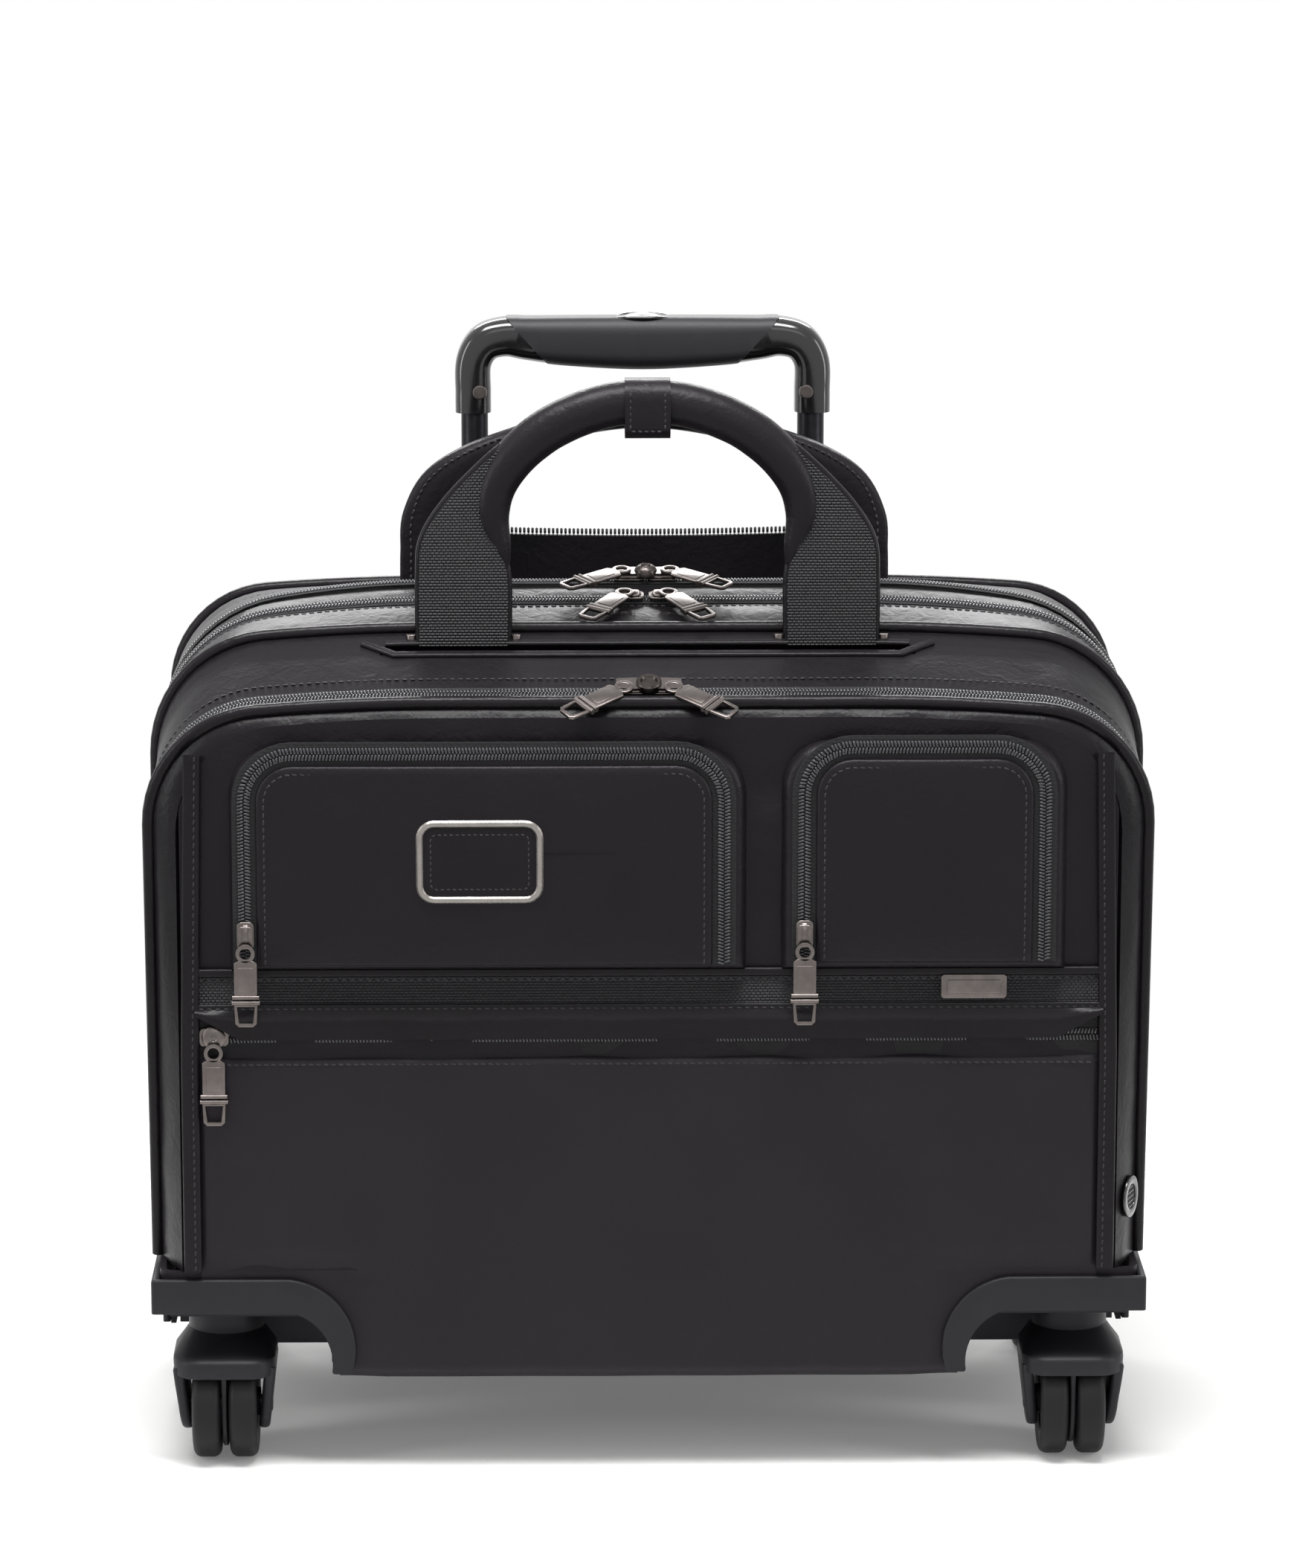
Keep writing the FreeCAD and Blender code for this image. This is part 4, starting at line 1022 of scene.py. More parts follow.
def pullShape():
    # die-cast pull, blank on its face: keyhole ring, shank, two ridges and an open foot; it runs along local x
    half, thick, length = pull["width"] / 2, pull["thick"], pull["length"]
    bar = roundedRect(-0.9, 0.9, 0, thick, 0.35, 2)
    eye = [(4.2 + 3.4 * cos(2 * pi * i / 20), 3.4 * sin(2 * pi * i / 20), 0) for i in range(20)]
    shapes = [sweep(eye, bar, up=(0, 0, 1), closed=True)]
    shank = [(23.5, half - 0.7), (8.5, half - 0.7), (7.0, 2.6), (7.0, -2.6), (8.5, -half + 0.7),
             (23.5, -half + 0.7)]
    shapes.append(plate(shank, 0.0, thick, 0.45))
    panel = [(21.5, half - 2.4), (10.5, half - 2.4), (10.5, -half + 2.4), (21.5, -half + 2.4)]
    shapes.append(plate(panel, thick - 0.1, thick + 0.25, 0.2))
    for u, reach in ((24.0, half + 0.1), (26.4, half + 0.35)):
        ridge = [(u, -reach, thick / 2), (u, reach, thick / 2)]
        shapes.append(sweep(ridge, roundedRect(-1.0, 1.0, -1.25, 1.25, 0.9, 3), up=(0, 0, 1)))
    foot = [(27.5, half - 1.2), (27.5, -half + 1.2), (length - 1.4, -half + 1.9), (length - 0.6, -half + 2.8),
            (length - 0.6, half - 2.8), (length - 1.4, half - 1.9)]
    shapes.append(sweep([(u, v, 0) for u, v in foot], bar, up=(0, 0, 1), closed=True))
    return shapes


def sliderShape(cap=False):
    # slider body with its bridge; the main pair has a domed lock housing
    shapes = [plate(roundedRect(-6.6, 6.6, -4.0, 4.0, 2.2, 4), 0.0, 1.5, 0.5)]
    shapes.append(sweep(smoothPath([(-5.0, 0, 1.0), (-3.2, 0, 2.3), (0, 0, 2.8), (3.2, 0, 2.3),
                                    (5.0, 0, 1.0)], 3),
                        roundedRect(-1.3, 1.3, -0.6, 0.6, 0.4, 2), up=(0, 0, 1)))
    if cap:
        shapes.append(lathe([(0.8, 5.2), (2.6, 5.2), (3.8, 4.4), (4.6, 2.8), (4.9, 0.6)], (0, 0, 0),
                            (0, 0, 1), 24))
        shapes.append(lathe([(4.4, 2.2), (5.2, 2.2), (5.2, 1.5), (4.7, 1.2)], (0, 0, 0), (0, 0, 1), 20))
    else:
        shapes.append(plate(roundedRect(-4.6, 4.6, -3.4, 3.4, 1.4, 4), 1.2, 2.5, 0.5))
    return shapes


def placedAll(shapes, matrix):
    return [moved(s, matrix) for s in shapes]


def lockShape(domed):
    # half of the lock between a pair of sliders: a flat arm, and a dome or a ringed plate at its end
    arm = [(-8.4, -3.0), (-8.4, 3.0), (-1.0, 3.6), (6.0, 3.0), (6.0, -3.0), (-1.0, -3.6)]
    shapes = [plate(arm, 2.0, 4.2, 0.7)]
    if domed:
        dome = [(2.0, 5.4), (3.8, 5.4), (5.4, 4.6), (6.6, 3.0), (6.9, 2.2), (6.2, 1.8), (6.2, 0.2)]
        return shapes + [lathe(dome, (-7.6, 0, 0), (0, 0, 1), 28)]
    ring = [(2.0, 5.6), (5.0, 5.6), (5.6, 5.0), (5.6, 3.8), (4.6, 3.2), (4.6, 0.2)]
    return shapes + [lathe(ring, (-7.6, 0, 0), (0, 0, 1), 28)]


def makeTopSliders():
    for name, y in (("front", frontZipY), ("second", middle("second_zip").y), ("main", middle("main_zip").y)):
        lean = math.atan2(topZ(y) - topZ(y - 6), 6)
        lift = (1.2 + 0.3) / cos(lean)
        rise = pull["mainRise"] if name == "main" else 0.0
        slant = radians(pull["drape"][name])
        for side, way in (("left", -1), ("right", 1)):
            base = Matrix.Translation((way * 7.6, y, topZ(y) + lift)) @ Matrix.Rotation(lean, 4, "X")
            drop = Matrix.Rotation(-slant if way > 0 else pi + slant, 4, "Z") @ Matrix.Translation(
                (0, 0, pull["lift"] + rise))
            node = name + "_zip_slider_" + side
            piece(name + "Slider_" + side, "gunmetal", placedAll(sliderShape(), base), node, [node],
                  crease=35)
            if name != "second":
                facing = base @ Matrix.Rotation(0 if way > 0 else pi, 4, "Z")
                piece(name + "Lock_" + side, "gunmetal", placedAll(lockShape(name == "main"), facing), node,
                      crease=35)
            piece(name + "Pull_" + side, "gunmetal", placedAll(pullShape(), base @ drop), node,
                  crease=35)


def makeHangingSliders():
    for side in ("left", "right"):
        node = side + "_pocket_slider"
        low, high = at[node]
        centre = (low + high) / 2
        base = axesAt((centre.x, high.y, centre.z), (0, 0, 1), (-1, 0, 0))
        piece(side + "PocketSlider", "gunmetal", placedAll(sliderShape(), base @ Matrix.Scale(0.94, 4)),
              node,
              [node], crease=35)
    low, high = at["lower_slider"]
    base = axesAt(((low.x + high.x) / 2, high.y, (low.z + high.z) / 2), (1, 0, 0), (0, 0, 1))
    piece("lowerSliderBody", "gunmetal", placedAll(sliderShape(True), base @ Matrix.Diagonal((1, 1, 0.55, 1))),
          "lower_slider", ["lower_slider"], crease=35)
    for node in ("left_pocket_pull", "right_pocket_pull", "lower_pull"):
        low, high = at[node]
        base = axesAt(((low.x + high.x) / 2, high.y, high.z), (0, 0, -1), (1, 0, 0))
        piece(node.replace("_", "") + "Tab", "gunmetal", placedAll(pullShape(), base), node,
              [node], crease=35)


makeTopSliders()
makeHangingSliders()
print("zips and sliders made")


# Base, guards and casters.

def perimeter(steps=10, corner=7.0):
    # plan outline of the case, with a point exactly at the edge of every wheel well
    x, y0, y1 = halfWide, frontY + 0.4, backY
    reach = well["reach"]
    line = roundedRect(-x, x, y0, y1, corner, 5)
    dense = []
    for (a, b), (c, d) in zip(line, line[1:] + line[:1]):
        length = math.hypot(c - a, d - b)
        marks = [0.0]
        if length > 60:
            marks += [(reach - corner) / length * i / 6 for i in range(1, 7)]
            marks += [(reach - corner + (length - 2 * reach + 2 * corner) * i / steps) / length
                      for i in range(1, steps + 1)]
            marks += [1 - (reach - corner) / length * (1 - i / 6) for i in range(1, 6)]
        dense += [(a + (c - a) * t, b + (d - b) * t) for t in marks]
    return dense


def makeBase():
    ring = perimeter()
    levels = [baseZ - 1, 50, 56, 62, 68, 73, well["top"], 82, 87, foldZ]
    rows = [[(x, y, z) for z in levels] for x, y in ring]
    rows = rows + rows[:1]
    inWell = lambda c: (halfWide - abs(c.x) < well["reach"] and c.z < well["top"]
                        and (c.y - frontY < well["reach"] or backY - c.y < well["reach"]))
    isFront = lambda c: c.y < frontY + 1.5 and abs(c.x) < lower["half"]
    # the band round the base takes the lighter lower leather, whose colour carries a painted sheen of the
    # floor's bounce light
    piece("lowerGussetLeather", "lowerLeatherPaintedSheen", grid(rows, keep=lambda c: not inWell(c) and not isFront(c)),
          "case",
          ["lower_gusset"], sheet=True, thick=2.4, inner="lining")
    # leather patches that carry the guards up the sides
    for side, turn in (("left", -1), ("right", 1)):
        for end, y, way in (("Front", frontY + 46, 1), ("Rear", backY, -1)):
            outlinePatch = roundedRect(0, 62, foldZ - 6, foldZ + 26, 9, 5) if end == "Rear" else roundedRect(
                0, 44, foldZ + 2, foldZ + 24, 8, 5)
            place = axesAt((turn * halfWide, y, 0), (0, way, 0), (0, 0, 1))
            low, high = (0.0, 1.2) if place.col[2].x * turn > 0 else (-1.2, 0.0)
            piece("sidePatch" + end + "_" + side, "foldedLeather", plate(outlinePatch, low, high, 0.5, place),
                  "case" if end == "Rear" else "front_section")
    soften("base_pan", "mouldedNylon")
    # moulded housing that closes the inner sides of each wheel well
    for side, turn in (("left", -1), ("right", 1)):
        for end, edgeY, way in (("front", frontY, 1), ("rear", backY, -1)):
            inner, deep = halfWide - well["reach"] + 1.6, edgeY + way * (well["reach"] - 1.6)
            sideRun = [(turn * inner, edgeY + way * 9, 0), (turn * inner, deep, 0)]
            backRun = [(turn * inner, deep, 0), (turn * (halfWide - 9), deep, 0)]
            for name, run, foot in (("Side", sideRun, baseZ + 1.5), ("Back", backRun, well["housing"])):
                piece("wellHousing" + name + "_" + end + "_" + side, "mouldedNylon",
                      sweep(run, roundedRect(-1.3, 1.3, foot, 71.0, 1.2, 3),
                            up=(0, 0, 1)), "case")
    soften("corner_guards", "mouldedNylon", 1.3)
    soften("caster_sockets", "mouldedNylon", 1.2)
    soften("drain_eyelet", "glossAbs", 0.5, 2)
    low, high = at["drain_eyelet"]
    spot = (low + high) / 2
    mesh = []
    for i in range(-2, 3):
        reach = math.sqrt(max(0.1, 31 - (i * 2.2) ** 2))
        for up, run in ((Vector((0, 0, 1)), Vector((0.35, 0.93, 0))),
                        (Vector((0.35, 0.93, 0)), Vector((0, 0, 1)))):
            mid = spot + up * i * 2.2
            mesh.append(sweep([mid - run * reach, mid + run * reach], circle(0.5, 6), up=(1, 0, 0)))
    piece("drainMesh", "nylonCoil", mesh, "front_panel")


caster = {"radius": 25.0, "width": 12.5, "gap": 4.0, "hub": 15.5}


def makeWheels(place):
    node = "wheels_" + place
    low, high = at[node]
    centre = (low + high) / 2
    radius, width, start = caster["radius"], caster["width"], caster["gap"] / 2
    tyres, hubs = [], []
    for way in (-1, 1):
        tread = [(0.0, caster["hub"]), (0.0, radius - 3.6)]
        tread += [(3.6 - 3.6 * cos(pi / 2 * i / 5), radius - 3.6 + 3.6 * sin(pi / 2 * i / 5))
                  for i in range(1, 6)]
        tread += [(width - 3.6 + 3.6 * sin(pi / 2 * i / 5), radius - 3.6 + 3.6 * cos(pi / 2 * i / 5))
                  for i in range(6)]
        tread += [(width - 0.6, caster["hub"] + 1.0), (width - 1.6, caster["hub"]), (0.0, caster["hub"])]
        tyres.append(lathe([(way * (start + a), r) for a, r in tread], centre, (1, 0, 0), 56))
        disc = [(0.6, 3.2), (0.6, caster["hub"] + 0.1), (width - 2.2, caster["hub"] + 0.1), (width - 2.2, 12.5),
                (width - 4.0, 11.5), (width - 4.0, 8.0), (width - 1.0, 7.0), (width + 1.0, 6.3),
                (width + 1.0, 3.2),
                (0.6, 3.2)]
        hubs.append(lathe([(way * (start + a), r) for a, r in disc], centre, (1, 0, 0), 40))
        for i in range(5):
            a = 2 * pi * i / 5
            arm = (0, cos(a), sin(a))
            inner = centre + Vector(arm) * 6.5 + Vector((way * (start + width - 3.2), 0, 0))
            outer = centre + Vector(arm) * 14.5 + Vector((way * (start + width - 3.4), 0, 0))
            hubs.append(sweep([inner, outer], roundedRect(-1.6, 1.6, -1.4, 1.4, 0.7, 3), up=(1, 0, 0)))
    piece("tyres_" + place, "castorRubber", tyres, node, [node], crease=40)
    piece("hubs_" + place, "mouldedNylon", hubs, node, crease=35)


fork = {"neck": 16.8, "half": 22.9, "shoulder": 50.5, "hem": 42.0, "deep": 24.0, "wall": 2.6, "lean": 0.11}


def makeFork(place):
    # moulded fork: a round neck that flares to a square hood, whose sides run down into two rounded legs
    node = "fork_" + place
    low, high = at[node]
    wheelLow, wheelHigh = at["wheels_" + place]
    x, axleY, axleZ = (low.x + high.x) / 2, (wheelLow.y + wheelHigh.y) / 2, caster["radius"]
    pinY, half, deep, wallThick = axleY + 12.0, fork["half"], fork["deep"], fork["wall"]

    def ring(z, a, b, radius, slide):
        return [(x + u, pinY - 12.0 * slide + v, z) for u, v in roundedRect(-a, a, -b, b, radius, 8)]
    neck, shoulder, hem = fork["neck"], fork["shoulder"], fork["hem"]
    levels = [ring(60.5, neck - 1.6, neck - 1.6, neck - 1.61, 0),
              ring(59.6, neck - 0.4, neck - 0.4, neck - 0.41, 0),
              ring(58.0, neck, neck, neck - 0.01, 0), ring(54.5, 19.4, 19.6, 16.0, 0.35),
              ring(shoulder + 0.8, 22.0, 22.6, 14.2, 0.8),
              ring(shoulder - 0.4, half - 0.1, deep - 0.2, 13.0, 0.95),
              ring(shoulder - 2.0, half, deep, 12.5, 1.0), ring(hem + 0.7, half - 0.3, deep - 0.4, 12.0, 1.0),
              ring(hem, half - 1.0, deep - 1.1, 11.4, 1.0),
              ring(hem, half - wallThick, deep - wallThick, 10.0, 1.0),
              ring(shoulder - 0.2, half - wallThick, deep - wallThick, 10.0, 1.0)]
    verts, faces = grid(levels, closed=True)
    count = len(levels[0])
    faces = list(faces) + [tuple(range(count)), tuple(range(len(verts) - count, len(verts)))]
    shapes = [(verts, faces)]
    leg = [(-18.0, hem + 4), (-16.6, 37), (-13.2, axleZ + 1)]
    leg += [(-13.2 * cos(a), axleZ + 1 - 13.0 * sin(a)) for a in [pi * i / 16 for i in range(1, 16)]]
    leg += [(13.2, axleZ + 1), (16.6, 37), (18.0, hem + 4)]
    for way in (-1, 1):
        place3 = axesAt((x + (half - 5.0 if way > 0 else -half), axleY, 0), (0, 1, 0), (0, 0, 1))
        verts, faces = moved(plate(leg, 0.0, 5.0, 1.7), place3)
        lean = [(px - way * fork["lean"] * max(0.0, hem + 2 - pz), py, pz) for px, py, pz in verts]
        shapes.append((lean, faces))
        cap = [(0.0, 4.6), (0.7, 4.4), (1.1, 3.6), (1.1, 0.3)]
        outer = half - fork["lean"] * (hem + 2 - axleZ) - 0.4
        shapes.append(lathe([(way * (outer + a * 0.5), r) for a, r in cap], (x, axleY, axleZ), (1, 0, 0), 24))
    rib = [(20.0 * cos(a), axleZ + 20.0 * sin(a))
           for a in [pi + pi * i / 20 for i in range(21)]] + [(20.0, hem + 2), (-20.0, hem + 2)]
    shapes.append(moved(plate(rib, 0.0, 2.2, 0.5), axesAt((x - 1.1, axleY, 0), (0, 1, 0), (0, 0, 1))))
    piece("forkBody_" + place, "mouldedNylon", shapes, node, [node], crease=42)
    pin = lathe([(58, 5.0), (high.z, 5.0)], (x, pinY, 0), (0, 0, 1), 24)
    axle = lathe([(-half + 3.5, 3.0), (half - 3.5, 3.0)], (x, axleY, axleZ), (1, 0, 0), 20)
    piece("forkPins_" + place, "gunmetal", [pin, axle], node, crease=40)


makeBase()
for place in ("front_left", "front_right", "rear_left", "rear_right"):
    makeFork(place)
    makeWheels(place)
print("base and casters made")


# Carry handles.

grip = {"y": middle("front_handle").y, "z": at["front_handle"][1].z - 9.8,
        "foot": at["front_handle"][0].z, "rearY": middle("rear_handle").y, "rearTop": at["rear_handle"][1].z,
        "rearFoot": at["rear_handle"][0].z}


def makeFrontHandle():
    y, z = grip["y"], grip["z"]
    # padded leather grip: stuffed core that tapers into the webbing at both ends
    control = [(-63.5, 399, 2.6), (-65.5, 410, 5.2), (-68.5, 424, 7.6), (-66.5, 437, 8.8), (-58.5, 449.5, 9.4),
               (-46, 460.5, 9.7), (-31, 468.3, 9.8), (-15, 473, 9.8), (0, z, 9.8)]
    run = control + [(-x, h, r) for x, h, r in reversed(control[:-1])]
    line = smoothPath([(x, h, r) for x, h, r in run], 6)
    path = [(p.x, y, p.y) for p in line]
    sizes = [(p.z * (1 + 0.015 * noise.noise(Vector((p.x / 9, 0, 3)))), min(p.z, 9.4)) for p in line]
    piece("frontGripLeather", "napa", sweep(path, circle(1.0, 28), up=(0, 1, 0), sizes=sizes),
          "front_handle", ["front_handle"], crease=80)
    # webbing straps, shaped by the tube that they are sewn to
    outer = [(-101.0, grip["foot"] - 4), (-101.0, 397), (-99.2, 414), (-89, 430.5), (-72, 448), (-58, 459.5)]
    inner = [(-62.0, grip["foot"] - 4), (-62.0, 397), (-66, 408), (-72, 422), (-66, 440), (-52, 455.5)]
    for side, turn in (("left", 1), ("right", -1)):
        a = smoothPath([(u, 0, v) for u, v in outer], 8)
        b = smoothPath([(u, 0, v) for u, v in inner], 8)
        rows = []
        for i, (p, q) in enumerate(zip(a, b)):
            bend = 2.0 * sin(pi * min(1, max(0, (p.z - 395) / 60)))
            rows.append([(turn * (p.x + (q.x - p.x) * j / 14), y - 1.8 - bend * (1 - (j / 14) ** 2) * 0.6,
                          p.z + (q.z - p.z) * j / 14) for j in range(15)])
        if turn > 0:
            rows = [list(reversed(row)) for row in rows]
        piece("handleWebbing_" + side, "ballisticWeave", grid(rows), "front_handle",
              sheet=True, thick=-3.4)
        edges = [[(p.x * turn, y - 1.0 - 1.2 * sin(pi * min(1, max(0, (p.z - 395) / 60))), p.z) for p in a],
                 [(p.x * turn, y - 0.6, p.z) for p in b[:20]]]
        trimShapes = [sweep(e, circle(1.9, 10), up=(0, 1, 0)) for e in edges]
        piece("handleBinding_" + side, "foldedLeather", trimShapes, "front_handle")
        rowsOf = []
        for e, shift in ((edges[0], 3.6), (edges[1], -3.6)):
            rowsOf += stitches([(Vector((p[0] + shift * turn, p[1] - 1.4, p[2])), Vector((0, -1, 0)))
                                for p in e], 3.2)
        piece("handleStitches_" + side, "threads", rowsOf, "front_handle")
        fold = roundedRect(-18.8, 18.8, grip["foot"] - 5, grip["foot"] + 9, 1.5, 3)
        foot = plate(fold, 0.0, 2.0, 0.7, axesAt((turn * -81.5, y - 1.2, 0), (1, 0, 0), (0, 0, 1)))
        piece("handleFoot_" + side, "ballisticWeave", foot, "front_handle")
    # wrap at the middle, with its tail below
    ring = roundedRect(-11.4, 11.4, z - 15.6, z + 10.6, 9.0, 7)
    wrap = sweep([(u, y, v) for u, v in [(-10, 0), (10, 0)]], [(v - z, u * 0.98) for u, v in ring],
                 up=(0, 1, 0))
    verts = [(x, yy, zz + z) for x, yy, zz in wrap[0]]
    piece("gripWrap", "napa", (verts, wrap[1]), "front_handle", crease=60)
    rows = []
    for x in (-7.6, 7.6):
        rows += stitches([(Vector((x, y - 11.1, z + 6 - 18 * i / 12)), Vector((0, -1, 0)))
                          for i in range(13)], 2.8, 2.0)
    rows += stitches([(Vector((-7.6 + 15.2 * i / 10, y - 10.6, z - 11.4)), Vector((0, -1, 0)))
                      for i in range(11)], 2.8, 2.0)
    piece("gripWrapStitches", "threads", rows, "front_handle")
    soften("handle_studs", "gunmetal", 0.5, 2)


def makeRearHandle():
    y, top, foot = grip["rearY"], grip["rearTop"], grip["rearFoot"]
    control = [(-94, foot + 1, 18.0, 2.8), (-94, top - 68, 17.8, 3.0), (-94.5, top - 54, 16.5, 3.6),
               (-91, top - 40, 12.5, 5.0), (-79, top - 28, 8.6, 6.6), (-60, top - 18.5, 6.4, 7.2),
               (-34, top - 10, 5.8, 7.4), (0, top - 5.8, 5.7, 7.5)]
    run = control + [(-x, z, a, b) for x, z, a, b in reversed(control[:-1])]
    line = smoothPath([(x, z, 0) for x, z, a, b in run], 7)
    shape = smoothPath([(a, b, 0) for x, z, a, b in run], 7)
    path = [(p.x, y, p.y) for p in line]
    sizes = [(q.x, q.y) for q in shape]
    section = [(u / 1.0, v / 1.0) for u, v in roundedRect(-1, 1, -1, 1, 0.72, 6)]
    piece("rearGripLeather", "napa", sweep(path, section, up=(0, 1, 0), sizes=sizes), "rear_handle",
          ["rear_handle"], crease=80)
    for edge, name in ((-0.72, "Outer"), (0.72, "Inner")):
        row = []
        for i, (p, q) in enumerate(zip(line, sizes)):
            ahead = (line[min(i + 1, len(line) - 1)] - line[max(i - 1, 0)]).normalized()
            out = Vector((-ahead.y, 0, ahead.x))
            if abs(p.x) > 52:
                row.append((Vector((p.x, y - q[1] * 0.97, p.y)) - out * q[0] * edge, Vector((0, -1, 0))))
            elif row:
                piece("rearGripStitches" + name + "_left", "threads", stitches(row, 3.4), "rear_handle")
                row = []
        if row:
            piece("rearGripStitches" + name + "_right", "threads", stitches(row, 3.4), "rear_handle")


makeFrontHandle()
makeRearHandle()
print("carry handles made")


# Trolley handle.

trolley = {"y": middle("outer_tubes").y, "top": at["grip_elbows"][1].z, "foot": at["grip_elbows"][0].z,
           "half": at["grip_elbows"][1].x, "leg": 16.5, "depth": 20.0, "low": at["grip_core"][0].z}


def cutBy(shape, origin, normal):
    # keeps the part of a closed shape behind a plane, and caps it
    bm = bmesh.new()
    verts = [bm.verts.new(p) for p in shape[0]]
    for face in shape[1]:
        bm.faces.new([verts[i] for i in face])
    bmesh.ops.bisect_plane(bm, geom=bm.verts[:] + bm.edges[:] + bm.faces[:], plane_co=origin, plane_no=normal,
                           clear_outer=True)
    bmesh.ops.holes_fill(bm, edges=[e for e in bm.edges if e.is_boundary])
    bm.verts.index_update()
    made = ([tuple(v.co) for v in bm.verts], [tuple(v.index for v in f.verts) for f in bm.faces])
    bm.free()
    return made


def gripBar(extra):
    # one bar from leg to leg: upright legs, round corners and a grip that is arched below
    y, top, foot = trolley["y"], trolley["top"], trolley["foot"]
    legX, half = trolley["half"] - trolley["leg"] / 2, trolley["leg"] / 2
    control = [(-legX, foot, half), (-legX, foot + 9, half), (-legX + 0.3, top - 21, half),
               (-legX + 5.5, top - 12.2, 8.6),
               (-legX + 15, top - 9.3, 8.9), (-legX + 26, top - 10.2, 9.8),
               (-34, top - 11.3, 11.0), (0, top - 12.1, 11.9)]
    run = control + [(-x, z, r) for x, z, r in reversed(control[:-1])]
    line = smoothPath([(x, z, r) for x, z, r in run], 7)
    path = [(p.x, y, p.y) for p in line]
    sizes = [(p.z + extra, trolley["depth"] / 2 + extra) for p in line]
    return sweep(path, roundedRect(-1, 1, -1, 1, 0.62, 6), up=(0, 1, 0), sizes=sizes)


def makeTrolley():
    top, y = trolley["top"], trolley["y"]
    slant = Vector((-(top - trolley["low"] - 3), 0, -(63.0 - 44.5))).normalized()
    joint = Vector((-53.7, y, (top + trolley["low"] + 3) / 2))
    core = cutBy(gripBar(0.35), joint, slant)
    core = cutBy(core, Vector((-joint.x, joint.y, joint.z)), Vector((-slant.x, 0, slant.z)))
    piece("gripCore", "softTouch", core, "trolley_upper", ["grip_core"], crease=55)
    left = cutBy(gripBar(0.0), joint - slant * 0.2, -slant)
    left = ([p for p in left[0]], left[1])
    bar = gripBar(0.0)
    for side, turn in (("left", 1), ("right", -1)):
        origin = Vector((joint.x * turn, joint.y, joint.z))
        normal = Vector((-slant.x * turn, 0, -slant.z))
        piece("gripElbow_" + side, "glossAbs", cutBy(bar, origin, normal), "trolley_upper",
              ["grip_elbows"] if turn > 0 else [], crease=55)
        screw = [lathe([(-0.2, 3.4), (-0.9, 3.2), (-1.0, 2.6), (-0.4, 2.5), (-0.4, 0.3)],
                       (-75.5 * turn, y - trolley["depth"] / 2, 457), (0, 1, 0), 24)]
        piece("gripScrew_" + side, "gunmetal", screw, "trolley_upper",
              ["grip_screws"] if turn > 0 else [],
              crease=35)
    dish = []
    half = 12.5
    for i in range(13):
        u = -1 + 2 * i / 12
        width = 6.6 * math.sqrt(max(0.02, 1 - u ** 4 * 0.92))
        dish.append([(half * u, y - width + 2 * width * j / 8,
                      top - 1.6 + 3.4 * (1 - u * u) * (1 - (j / 4 - 1) ** 2 * 0.35))
                     for j in range(9)])
    lid = grid([list(row) for row in dish])
    rim = [row[0] for row in dish] + list(dish[-1][1:]) + [row[-1] for row in reversed(dish[:-1])] + list(
        reversed(dish[0][1:-1]))
    skirt = grid([rim, [(px, py, top - 5.0) for px, py, pz in rim]], closed=True)
    piece("releaseButton", "buttonNylon", [lid, skirt], "push_button", ["push_button"],
          crease=40)
    ring = [(13.6 * cos(2 * pi * i / 40), y + 7.6 * sin(2 * pi * i / 40),
             top + 0.15 - 1.3 * abs(cos(2 * pi * i / 40)) ** 3)
            for i in range(40)]
    piece("buttonBezel", "glossAbs", sweep(ring, circle(0.9, 8), up=(0, 0, 1), closed=True), "trolley_upper")
    for node in ("inner_tubes", "middle_tubes", "outer_tubes"):
        soften(node, "anodisedTube", 0.3, 2)
    soften("tube_bezel", "mouldedNylon", 0.9)
    soften("tube_bracket", "mouldedNylon", 0.9)


makeTrolley()
print("trolley handle made")


# Back, trolley bay, inside and luggage tag.

def makeBack():
    xs = [-(halfWide - 3) + 2 * (halfWide - 3) * (0.5 - 0.5 * cos(pi * i / 60)) for i in range(61)]
    rows = []
    for x in reversed(xs):
        top = topAt(x, backY, -3.0)
        row = []
        for j in range(51):
            z = foldZ + 0.5 + (top - foldZ - 0.5) * j / 50
            edge = (min(1.0, (halfWide - abs(x)) / 20.0) * min(1.0, max(0.0, top + 3 - z) / 20.0)
                    * min(1, (z - foldZ) / 20))
            row.append((x, backY - 1.5 + 2.6 * edge + ruffle((x, 9, z), 40, 1.0, 21.0) * edge, z))
        rows.append(row)
    piece("backLeather", "gussetLeather", grid(rows), "case", ["back_panel"], sheet=True, thick=3.0,
          inner="lining")
    # sleeve that slides over another case's handle, sewn at its sides
    rows = []
    for i in range(41):
        x = 118.0 - 236.0 * i / 40
        bulge = 1 - (x / 118.0) ** 4
        rows.append([(x, backY + 1.6 + 2.8 * bulge + ruffle((x, 4, z), 30, 0.8, 25.0) * bulge, z)
                     for z in [150 + 130 * j / 24 for j in range(25)]])
    piece("backSleeve", "napa", grid(rows), "case", sheet=True, thick=1.6)
    shapes, rowsOf = [], []
    for z in (150, 280):
        path = [(118.0 - 236.0 * i / 40, backY + 1.6 + 2.8 * (1 - ((118 - 236 * i / 40) / 118) ** 4), z)
                for i in range(41)]
        shapes.append(sweep(path, roundedRect(-4, 4, -1.3, 1.3, 1.2, 3), up=(0, 1, 0)))
        rowsOf += stitches([(Vector(p) + Vector((0, 1.4, 0)), Vector((0, 1, 0))) for p in path])
    for x in (-116, 116):
        rowsOf += stitches([(Vector((x, backY + 2.6, z)), Vector((0, 1, 0))) for z in (152, 278)])
    piece("backSleeveBinding", "foldedLeather", shapes, "case")
    piece("backStitches", "threads", rowsOf, "case")


